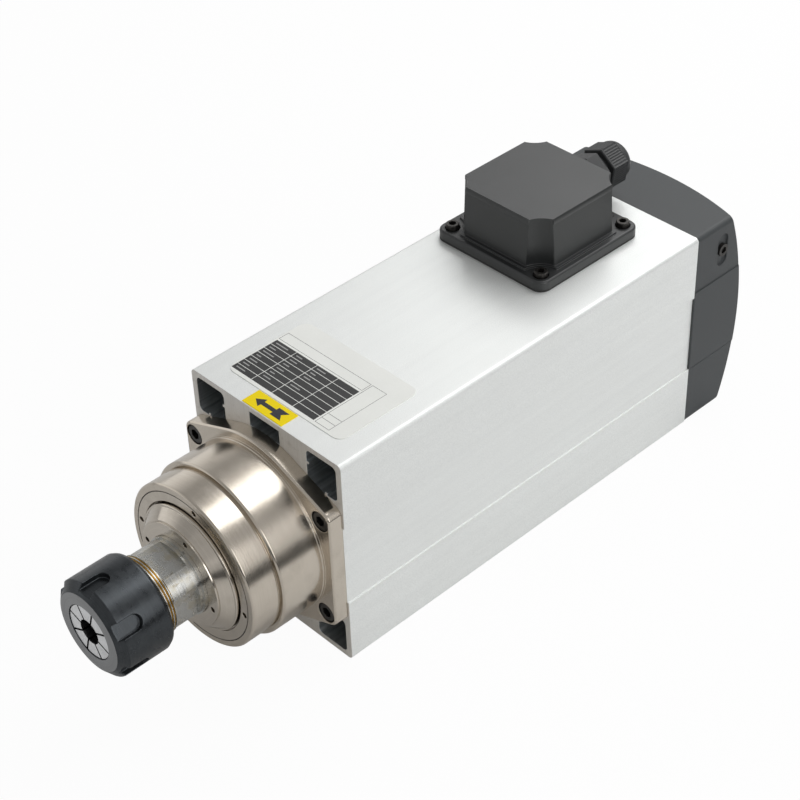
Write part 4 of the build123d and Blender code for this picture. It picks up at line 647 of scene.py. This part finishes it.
# %% Motor body
SKIN = 2.2 * MM
SAWN_FACING = 0.7
housing = merged_copy("housing_extrusion")
rounded = break_edges(housing, 0.25 * MM)
for face in housing.faces:
    middle = face.calc_center_median()
    inside = abs(middle.x) < body_high.x - SKIN and body_low.z + SKIN < middle.z < body_high.z - SKIN
    if abs(face.normal.y) > SAWN_FACING:
        face.material_index = 1
    elif inside:
        face.material_index = 2
finish_piece(
    "motor_body", housing, [blasted, sawn, duct], "housing",
    ["housing_extrusion"])
print("edges broken on the motor body:", rounded)

# %% [markdown]
# The nose is a turned part. Its edges are broken by a lathe tool, so a small chamfer with two
# segments is right. The screw holes in the flange are drilled; their walls, and those of the groove
# round the retaining ring, get their own finish of painted shade, a near-black steel.

# %% Nose
screw_low, screw_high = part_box("front_flange_screws")
NOSE_HEAD = 10.0 * MM
HOLE_REACH = 5.7 * MM
HOLES_BEHIND = 41.6 * MM
FLAT_FACING = 0.93
GROOVE_REACH = 1.0 * MM
GROOVE_DEPTH = 1.5 * MM
lug_places = [
    Vector((x, 0, z))
    for x in (screw_low.x + NOSE_HEAD / 2, screw_high.x - NOSE_HEAD / 2)
    for z in (screw_low.z + NOSE_HEAD / 2, screw_high.z - NOSE_HEAD / 2)
]
ring_low, ring_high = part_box("bearing_retainer_ring")
ring_radius = (ring_high.x - ring_low.x) / 2
nose = merged_copy("front_bearing_housing")
rounded = break_edges(nose, 0.22 * MM)
for face in nose.faces:
    middle = face.calc_center_median()
    flat_place = Vector((middle.x, 0, middle.z))
    near_screw = min((flat_place - lug).length for lug in lug_places) < HOLE_REACH
    in_hole = near_screw and middle.y > nose_low.y + HOLES_BEHIND
    near_ring = middle.y < nose_low.y + GROOVE_DEPTH and from_axis(middle) < ring_radius + GROOVE_REACH
    # Faces in the screw holes and on the groove's walls take the painted shade.
    if in_hole or (near_ring and abs(face.normal.y) < FLAT_FACING):
        face.material_index = 1
finish_piece(
    "nose_housing", nose, [nose_steel, recess_shade_steel], "housing", ["front_bearing_housing"])
print("edges broken on the nose:", rounded)

# %% [markdown]
# The threaded ring that holds the bearings has a wider chamfer round its rim, which makes the
# groove beside it; the chamfer's faces are painted dark as shade. The labyrinth nut turns with
# the shaft, so it rides on the spindle's body.

# %% Retaining ring and labyrinth nut
retainer = merged_copy("bearing_retainer_ring")
rounded = break_edges(retainer, 0.35 * MM)
for face in retainer.faces:
    at_rim = from_axis(face.calc_center_median()) > ring_radius - GROOVE_REACH
    # The rim's chamfer takes the painted shade of the groove.
    if at_rim and abs(face.normal.y) < FLAT_FACING:
        face.material_index = 1
finish_piece(
    "retaining_ring", retainer, [ring_steel, recess_shade_steel], "housing",
    ["bearing_retainer_ring"])

labyrinth = merged_copy("labyrinth_nut")
rounded += break_edges(labyrinth, 0.18 * MM)
finish_piece("labyrinth_ring", labyrinth, [ring_steel], "spindle", ["labyrinth_nut"])
print("edges broken on the two rings:", rounded)

# %% [markdown]
# The shaft keeps its CAD mesh: its thread has real grooves, and breaking the crests would eat
# them. The collet nut has six slots for the spanner, whose edges are clearly rounded, so it gets
# a wider bevel in three segments; the edges inside its bore get a fine one. Only its flat front
# ring takes the lighter ground finish. A face of the collet is pale where it looks forward, and
# its other faces, in the slits and the bore, are painted dark as shade.

# %% Collet nut and collet
FRONT_RING_DEPTH = 0.9 * MM
NUT_INSIDE = 20.3 * MM
RING_FACING = -0.95
JAW_FACING = -0.6
nut = merged_copy("collet_nut")
rounded = break_edges(
    nut, 0.40 * MM, segments=3, turn=28.0, where=lambda place: from_axis(place) > NUT_INSIDE)
break_edges(nut, 0.15 * MM, turn=50.0, where=lambda place: from_axis(place) < NUT_INSIDE)
for face in nut.faces:
    at_front = face.calc_center_median().y < nut_low.y + FRONT_RING_DEPTH
    if at_front and face.normal.y < RING_FACING:
        face.material_index = 1
finish_piece("spanner_nut", nut, [nut_oxide, nut_face], "collet_nut", ["collet_nut"])

collet = merged_copy("collet")
break_edges(collet, 0.10 * MM, turn=40.0)
for face in collet.faces:
    # Faces that do not look forward take the painted shade.
    if face.normal.y > JAW_FACING:
        face.material_index = 1
finish_piece(
    "spring_collet", collet, [collet_steel, collet_painted_shade], "collet", ["collet"])
print("edges broken on the collet nut:", rounded)

# %% [markdown]
# The junction box and the fan cover are moulded, so their edges are soft. The box's lid already
# has its chamfer in the CAD model, and its walls meet the lid in narrow strips that a bevel would
# tear, so only the flange and the plinth below are rounded. The fan cover's grille has many
# edges, and just under half a millimetre suits them all.

# %% Junction box and fan cover
MOULDED_TURN = 30.0
PLINTH_RISE = 7.1 * MM
box = merged_copy("junction_box")
rounded = break_edges(
    box, 0.25 * MM, turn=MOULDED_TURN, where=lambda place: place.z < body_high.z + PLINTH_RISE)
finish_piece("terminal_housing", box, [box_plastic], "housing", ["junction_box"])

cover = merged_copy("fan_cover")
rounded_cover = break_edges(cover, 0.45 * MM, turn=MOULDED_TURN)
finish_piece("fan_shroud", cover, [cover_plastic], "housing", ["fan_cover"])
print("edges rounded:", rounded, "on the box,", rounded_cover, "on the fan cover")

# %% [markdown]
# A socket-head screw starts as a ring of 48 points. Pulling every second point in by a small
# amount gives the knurl once the ring is extruded. The six-sided socket is a second, smaller
# ring, bridged to the first and pushed down. The shank is the underside, inset and extruded.

# %% A socket-head screw
KNURL_POINTS = 48
RIM_INSET = 0.4 * MM
RIM_DROP = 0.35 * MM
SOCKET_SHARE = 0.29
SOCKET_DEPTH_SHARE = 0.55


def points_of(geometry):
    return [item for item in geometry if isinstance(item, bmesh.types.BMVert)]


def knurled_screw(head, height, shank, length, knurl):
    """A socket-head screw on Z: the head stands on z = 0 and the shank goes down."""
    work = bmesh.new()
    lift = Matrix.Translation((0, 0, height))
    rim_radius = head / 2 - RIM_INSET
    rim = bmesh.ops.create_circle(
        work, segments=KNURL_POINTS, radius=rim_radius, matrix=lift)["verts"]
    socket = bmesh.ops.create_circle(
        work, segments=6, radius=head * SOCKET_SHARE, matrix=lift)["verts"]
    rim_edges = {edge for vert in rim for edge in vert.link_edges}
    socket_edges = {edge for vert in socket for edge in vert.link_edges}
    bmesh.ops.bridge_loops(work, edges=list(rim_edges | socket_edges))

    floor = points_of(bmesh.ops.extrude_edge_only(work, edges=list(socket_edges))["geom"])
    bmesh.ops.translate(work, verts=floor, vec=(0, 0, -height * SOCKET_DEPTH_SHARE))
    bmesh.ops.contextual_create(work, geom=floor)

    side = bmesh.ops.extrude_edge_only(work, edges=list(rim_edges))["geom"]
    shoulder = points_of(side)
    grow = (head / 2) / rim_radius
    bmesh.ops.scale(work, verts=shoulder, vec=(grow, grow, 1))
    bmesh.ops.translate(work, verts=shoulder, vec=(0, 0, -RIM_DROP))
    by_angle = sorted(shoulder, key=lambda vert: math.atan2(vert.co.y, vert.co.x))
    shrink = 1 - knurl / (head / 2)
    bmesh.ops.scale(work, verts=by_angle[::2], vec=(shrink, shrink, 1))

    edges = [item for item in side if isinstance(item, bmesh.types.BMEdge)]
    round_edges = [edge for edge in edges if all(vert in shoulder for vert in edge.verts)]
    foot = points_of(bmesh.ops.extrude_edge_only(work, edges=round_edges)["geom"])
    bmesh.ops.translate(work, verts=foot, vec=(0, 0, RIM_DROP - height))
    under = bmesh.ops.contextual_create(work, geom=foot)["faces"]
    bmesh.ops.inset_region(work, faces=under, thickness=head / 2 - shank / 2)
    down = bmesh.ops.extrude_face_region(work, geom=under)["geom"]
    bmesh.ops.delete(work, geom=under, context="FACES_ONLY")
    bmesh.ops.translate(work, verts=points_of(down), vec=(0, 0, -length))
    bmesh.ops.recalc_face_normals(work, faces=work.faces)
    return work


# %% [markdown]
# One screw is made for each size, and copied to its four places. The nose's screws lie in the
# flange, so they are turned to point along Y. The box's screws stand upright in their sinks, and
# their heads are almost smooth.

# %% Nose screws and box screws
NOSE_HEAD_HEIGHT = 6.0 * MM
front_seat = screw_low.y + NOSE_HEAD_HEIGHT
front_turn = Matrix.Rotation(math.radians(90), 4, "X")
front_places = [Matrix.Translation((lug.x, front_seat, lug.z)) @ front_turn for lug in lug_places]
nose_screw = knurled_screw(
    NOSE_HEAD, NOSE_HEAD_HEIGHT, shank=6.0 * MM, length=20.0 * MM, knurl=0.12 * MM)
finish_piece(
    "nose_screws", repeated(nose_screw, front_places), [black_oxide], "housing",
    ["front_flange_screws"])

BOX_HEAD, BOX_HEAD_HEIGHT = 7.0 * MM, 4.0 * MM
box_screw_low, box_screw_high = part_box("junction_box_screws")
box_seat = box_screw_high.z - BOX_HEAD_HEIGHT
box_places = [
    Matrix.Translation((x, y, box_seat))
    for x in (box_screw_low.x + BOX_HEAD / 2, box_screw_high.x - BOX_HEAD / 2)
    for y in (box_screw_low.y + BOX_HEAD / 2, box_screw_high.y - BOX_HEAD / 2)
]
box_screw = knurled_screw(
    BOX_HEAD, BOX_HEAD_HEIGHT, shank=3.96 * MM, length=8.0 * MM, knurl=0.03 * MM)
finish_piece(
    "box_screws", repeated(box_screw, box_places), [black_oxide], "housing",
    ["junction_box_screws"])

# %% [markdown]
# The gland's dome nut is a hexagon whose flats carry fine ribs for grip, and it ends in a round
# dome. It grows as a stack of rings with the same number of points: the hexagon is a six-sided
# circle with each side divided, every second point pulled in for the ribs, and the rings of the
# dome are plain circles. The rings become one skin once each is bridged to the next.

# %% Rings for the gland dome nut
RIBS_PER_SIDE = 16
RIB_DEPTH = 0.25 * MM
GLAND_TURN = 7.0


def gland_ring(work, place, radius, hexagon=False, ribbed=False):
    """One ring about the gland's axis. Returns its edges."""
    centre = Matrix.Translation((GLAND_AXIS.x, place, GLAND_AXIS.z))
    turn = Matrix.Rotation(math.radians(GLAND_TURN), 4, "Y")
    lie_down = Matrix.Rotation(math.radians(-90), 4, "X")
    verts = bmesh.ops.create_circle(
        work, segments=6 * RIBS_PER_SIDE, radius=radius, matrix=centre @ turn @ lie_down)["verts"]
    for vert in verts:
        if hexagon:
            arm = vert.co - Vector((GLAND_AXIS.x, place, GLAND_AXIS.z))
            from_corner = (math.degrees(math.atan2(arm.x, arm.z)) - GLAND_TURN) % 60
            reach = 1 / math.cos(math.radians(from_corner - 30))
            if ribbed and round(from_corner * RIBS_PER_SIDE / 60) % 2:
                reach -= RIB_DEPTH / radius
            vert.co += arm * (reach - 1)
    return list({edge for vert in verts for edge in vert.link_edges})


# %% [markdown]
# The rings run from the step inside the nut, out through its bore, over the hexagon and the dome,
# and back into the mouth. Two short tables give the hexagon's rings and the dome's: how far along
# each one lies, and whether it has ribs or how much smaller it is.

# %% Gland dome nut and body
HEX_FLATS = 21.0 * MM
HEX_LENGTH = 11.5 * MM
STEP_PLACE = 11.2 * MM
END_ROUND = 0.3 * MM
HEX_CHAMFER = 0.5 * MM
bore, mouth = 8.12 * MM, 5.8 * MM
half = HEX_FLATS / 2
hex_start = gland_low.y
hex_end = hex_start + HEX_LENGTH
HEX_RINGS = [(0.4, False), (1.2, False), (1.4, True), (10.6, True), (10.8, False)]
DOME_RINGS = [(0.0, 0.0), (1.0, 0.05), (2.2, 0.45), (3.2, 1.0), (4.0, 1.8)]
dome = bmesh.new()
rings = [
    gland_ring(dome, hex_start + STEP_PLACE, mouth),
    gland_ring(dome, hex_start + STEP_PLACE, bore),
    gland_ring(dome, hex_start, bore),
    gland_ring(dome, hex_start, half - HEX_CHAMFER, hexagon=True),
]
for along, ribbed in HEX_RINGS:
    rings.append(gland_ring(dome, hex_start + along * MM, half, hexagon=True, ribbed=ribbed))
for along, smaller in DOME_RINGS:
    rings.append(gland_ring(dome, hex_end + along * MM, half - smaller * MM))
rings += [
    gland_ring(dome, gland_high.y, half - 2.7 * MM),
    gland_ring(dome, gland_high.y, mouth + END_ROUND),
    gland_ring(dome, gland_high.y - END_ROUND, mouth),
]
for first, second in zip(rings, rings[1:] + rings[:1]):
    bmesh.ops.bridge_loops(dome, edges=first + second)
bmesh.ops.remove_doubles(dome, verts=dome.verts, dist=JOIN_DISTANCE)
bmesh.ops.recalc_face_normals(dome, faces=dome.faces)
finish_piece(
    "ribbed_dome_nut", dome, [gland_nylon], "gland_nut", ["gland_dome_nut"], 30.0)

gland = merged_copy("gland_body")
break_edges(gland, 0.30 * MM, turn=28.0)
finish_piece("gland_hexagon", gland, [gland_nylon], "housing", ["gland_body"])

# %% [markdown]
# Print is real geometry here, a few hundredths of a millimetre thick, so it stays sharp from any
# distance. A block of ink is a flat grid that is thickened. With a gap, its faces are inset one
# by one and the borders are deleted, so its cells stand apart.

# %% Helpers for print
INK = 0.03 * MM
plate_low, plate_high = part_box("rating_plate")
FILM_TOP = plate_high.z


def thicken(work, faces, height):
    """Turns flat faces into closed slabs of the given height."""
    up = bmesh.ops.extrude_face_region(work, geom=faces, use_keep_orig=True)["geom"]
    bmesh.ops.translate(work, verts=points_of(up), vec=(0, 0, height))


def flat_grid(work, low, high, columns=1, rows=1, height=FILM_TOP):
    """A flat grid of faces between two corners on the label."""
    size = Matrix.Diagonal(((high[0] - low[0]) / 2, (high[1] - low[1]) / 2, 1, 1))
    place = Matrix.Translation(((low[0] + high[0]) / 2, (low[1] + high[1]) / 2, height))
    verts = bmesh.ops.create_grid(
        work, x_segments=columns, y_segments=rows, size=1.0, matrix=place @ size)["verts"]
    return list({face for vert in verts for face in vert.link_faces})


def inset_each(work, faces, thickness):
    """Insets every face by itself, and returns the borders."""
    return bmesh.ops.inset_individual(
        work, faces=faces, thickness=thickness, use_even_offset=True)["faces"]


def ink_block(work, low, high, index, columns=1, rows=1, gap=0.0, lift=0.0, height=INK):
    """Blocks of ink. With a gap, a grid's cells stand apart by it."""
    cells = flat_grid(work, low, high, columns, rows, FILM_TOP + lift)
    if gap:
        bmesh.ops.delete(work, geom=inset_each(work, cells, gap / 2), context="FACES")
    for cell in cells:
        cell.material_index = index
    thicken(work, cells, height)


def ink_frame(work, low, high, index, line=0.22 * MM):
    """A thin printed outline."""
    inner = flat_grid(work, low, high)
    border = inset_each(work, inner, line)
    bmesh.ops.delete(work, geom=inner, context="FACES")
    for face in border:
        face.material_index = index
    thicken(work, border, INK)


# %% [markdown]
# The rating label is a sheet of film with rounded corners. Its table is a grid of dark cells, and
# the pale film between them shows as lines. Plain short bars stand where a real label has its
# entries, and two thin outlines stand where it has its heading and its side column.

# %% Rating label
CORNER_ROUND = 5.0 * MM
label = bmesh.new()
film = flat_grid(label, plate_low.xy, plate_high.xy, height=plate_low.z)
bmesh.ops.bevel(
    label, geom=[vert for face in film for vert in face.verts], offset=CORNER_ROUND,
    offset_type="OFFSET", segments=8, profile=0.5, affect="VERTICES", material=-1)
thicken(label, list(label.faces), plate_high.z - plate_low.z)
bmesh.ops.recalc_face_normals(label, faces=label.faces)

TABLE_LOW = Vector((plate_low.x + 0.9 * MM, plate_low.y + 1.9 * MM))
TABLE_HIGH = Vector((plate_low.x + 58.4 * MM, plate_low.y + 30.6 * MM))
COLUMNS, ROWS = 4, 7
ink_block(label, TABLE_LOW, TABLE_HIGH, 1, COLUMNS, ROWS, gap=0.34 * MM)
cell = Vector(((TABLE_HIGH.x - TABLE_LOW.x) / COLUMNS, (TABLE_HIGH.y - TABLE_LOW.y) / ROWS))
BAR_SHARES = [(0.42, 0.0, 0.0), (0.30, 0.34, 0.0), (0.36, 0.22, 0.44), (0.22, 0.34, 0.0),
              (0.52, 0.28, 0.30), (0.30, 0.34, 0.24), (0.58, 0.28, 0.40)]
BAR_HEIGHT = 0.65 * MM
BAR_START = 0.12
for row, shares in enumerate(BAR_SHARES):
    for column, share in enumerate(shares):
        if share:
            middle = cell.y * (row + 0.5)
            start = Vector((cell.x * (column + BAR_START), middle - BAR_HEIGHT / 2))
            bar_low = TABLE_LOW + start
            bar_high = bar_low + Vector((cell.x * share, BAR_HEIGHT))
            ink_block(label, bar_low, bar_high, 3, lift=INK, height=INK / 2)
HEADER_HEIGHT = 6.2 * MM
header_low = Vector((TABLE_LOW.x, TABLE_HIGH.y + 1.1 * MM))
ink_frame(label, header_low, Vector((TABLE_HIGH.x, header_low.y + HEADER_HEIGHT)), 2)
SIDE_LOW = Vector((TABLE_HIGH.x + 0.9 * MM, TABLE_LOW.y))
SIDE_HIGH = Vector((SIDE_LOW.x + 9.4 * MM, header_low.y + HEADER_HEIGHT))
ink_frame(label, SIDE_LOW, SIDE_HIGH, 2)
for up in (4.0 * MM, 8.0 * MM):
    rule_low = SIDE_LOW + Vector((0.4 * MM, up))
    ink_block(label, rule_low, rule_low + Vector((8.6 * MM, 0.25 * MM)), 2)
finish_piece(
    "rating_label", label, [grey_film, charcoal_ink, line_ink, mark_ink], "housing",
    ["rating_plate"])

# %% [markdown]
# The direction label is a yellow strip with one black arrow. The arrow is drawn with twelve
# points, in millimetres from the strip's centre, as a single face, and thickened like the rest of
# the print.

# %% Direction label
arrow_low, arrow_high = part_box("direction_label")
arrow_centre = (arrow_low + arrow_high) / 2
strip = bmesh.new()
sheet = flat_grid(strip, arrow_low.xy, arrow_high.xy, height=arrow_low.z)
thicken(strip, sheet, arrow_high.z - arrow_low.z)
bmesh.ops.recalc_face_normals(strip, faces=strip.faces)
ARROW = [
    (-9.9, 0.0), (-5.2, 3.1), (-4.9, 1.2), (3.1, 1.2), (3.1, 3.0), (10.2, 3.0),
    (7.6, 0.0), (10.2, -3.0), (3.1, -3.0), (3.1, -1.2), (-4.9, -1.2), (-5.2, -3.1),
]
outline = [Vector((arrow_centre.x + x * MM, arrow_centre.y + y * MM, arrow_high.z)) for x, y in ARROW]
arrow = strip.faces.new([strip.verts.new(corner) for corner in outline])
arrow.normal_update()
arrow.material_index = 1
thicken(strip, [arrow], INK)
finish_piece(
    "turning_label", strip, [yellow_film, blue_black_ink], "housing",
    ["direction_label"])

# %% [markdown]
# The floor is a plain pale sheet. The camera sees it almost as pure white, as in a product
# photograph, while a small share of real shading keeps the object's soft shadow on it. In
# reflections it is an ordinary pale floor that turns dark beyond the table's right edge, which
# gives the nose its dark line.

# %% Floor
floor_work = bmesh.new()
bmesh.ops.create_grid(floor_work, x_segments=1, y_segments=1, size=4.0)
floor_mesh = bpy.data.meshes.new("floor")
floor_work.to_mesh(floor_mesh)
floor_work.free()
floor = bpy.data.objects.new("floor", floor_mesh)
bpy.context.scene.collection.objects.link(floor)
floor_paint = new_finish("floor_paint", Roughness=0.9, Specular_IOR_Level=0.1)
floor_cloud = grain(floor_paint, 3, 2.0)
paint = ramp(floor_paint, floor_cloud, (0.3, (0.80, 0.80, 0.80)), (0.7, (0.82, 0.82, 0.82)))
TABLE_EDGE, EDGE_BLUR = 0.36, 0.06
across = add(floor_paint, "SeparateXYZ", Vector=place_on(floor_paint)).outputs["X"]
beyond = spread(floor_paint, across, 0.0, 1.0, TABLE_EDGE, TABLE_EDGE + EDGE_BLUR)
rays = add(floor_paint, "LightPath").outputs
dark_part = math_on(floor_paint, "MULTIPLY", beyond, rays["Is Glossy Ray"])
colour_it(floor_paint, blend_colours(floor_paint, dark_part, paint, (0.03, 0.03, 0.03)))
floor_mesh.materials.append(floor_paint)
WHITE = (1.0, 1.0, 1.0, 1.0)
SEEN_SHARE = 0.96
seen = math_on(floor_paint, "MAXIMUM", rays["Is Camera Ray"], rays["Is Transmission Ray"])
glow_share = math_on(floor_paint, "MULTIPLY", seen, SEEN_SHARE)
glow = add(floor_paint, "Emission", Color=WHITE, Strength=1.0).outputs["Emission"]
mixed = mix_shaders(floor_paint, glow_share, shader_of(floor_paint).outputs["BSDF"], glow)
feed(floor_paint, mixed, floor_paint.node_tree.nodes["Material Output"].inputs["Surface"])
tell(floor_paint)

# %% [markdown]
# The studio is a white room with one side left darker. Metal shows what is around it, so a room
# that is evenly white would make steel look like paper. The angle about the spindle's axis
# decides how bright the room is in reflections: pale on the left and below, grey overhead, and
# almost black in a thin streak level with the spindle on the right. The camera itself sees plain
# white, and the diffuse light is gentle. A world has a node tree as a material does, so the same
# helpers build it.

# %% Room
world = bpy.data.worlds.new("studio")
bpy.context.scene.world = world
world.use_nodes = True
world.node_tree.nodes.clear()
direction = add(world, "SeparateXYZ", Vector=add(world, "TexCoord").outputs["Generated"]).outputs
angle = math_on(world, "ARCTAN2", direction["Z"], direction["X"])
SCREEN_STOPS = [
    (-180, 0.95), (-90, 0.60), (-6, 0.06), (3, 0.06), (9, 0.42), (28, 0.62), (46, 0.45), (60, 0.45),
    (100, 0.45), (114, 0.36), (136, 0.36), (150, 0.60), (165, 0.85), (180, 0.95),
]
screens = ramp(world, spread(world, angle, 0.0, 1.0, -math.pi, math.pi), *[
    ((degrees + 180) / 360, (light, light, light)) for degrees, light in SCREEN_STOPS])
rays = add(world, "LightPath").outputs
soft_light = add(world, "Background", Color=WHITE, Strength=0.34).outputs["Background"]
reflected = add(world, "Background", Color=screens, Strength=1.0).outputs["Background"]
white = add(world, "Background", Color=WHITE, Strength=1.0).outputs["Background"]
shine = mix_shaders(world, rays["Is Glossy Ray"], soft_light, reflected)
through = mix_shaders(world, rays["Is Transmission Ray"], shine, white)
view = mix_shaders(world, rays["Is Camera Ray"], through, white)
add(world, "OutputWorld", Surface=view)
print("room set with", len(SCREEN_STOPS), "screen stops")

# %% [markdown]
# Two soft lamps shape the object. The large one hangs above and behind it, turned so that its
# near edge runs past the nose: the nose then shows it as a broad white band with a hard edge,
# and the tops of the box and the cover reflect it too. The one on the right keeps the long side
# only a little darker than the top.

# %% Lamps
def soft_lamp(name, place, turn, width, depth, radiance):
    """A rectangular lamp that looks equally bright from everywhere. Power follows from its area."""
    data = bpy.data.lights.new(name, "AREA")
    data.shape = "RECTANGLE"
    data.size = width
    data.size_y = depth
    data.energy = radiance * math.pi * width * depth
    lamp = bpy.data.objects.new(name, data)
    lamp.location = place
    lamp.rotation_euler = turn
    bpy.context.scene.collection.objects.link(lamp)


SCREEN_TURN = math.radians(-31)
SCREEN_WIDTH, SCREEN_DEPTH = 1.6, 1.1
SCREEN_HEIGHT = 1.1
NEAR_EDGE = Vector((-0.46, 0.53))
along_edge = Vector((math.cos(SCREEN_TURN), math.sin(SCREEN_TURN)))
from_edge = Vector((-math.sin(SCREEN_TURN), math.cos(SCREEN_TURN)))
screen_centre = NEAR_EDGE + along_edge * 0.05 + from_edge * SCREEN_DEPTH / 2
soft_lamp(
    "white_screen", (*screen_centre, SCREEN_HEIGHT), (0, 0, SCREEN_TURN), SCREEN_WIDTH, SCREEN_DEPTH,
    radiance=2.7)
SIDE_PLACE = Vector((1.30, -0.10, 0.60))
side_turn = (AXIS - SIDE_PLACE).to_track_quat("-Z", "Y").to_euler()
soft_lamp("right_side", SIDE_PLACE, side_turn, 0.9, 0.9, radiance=2.4)
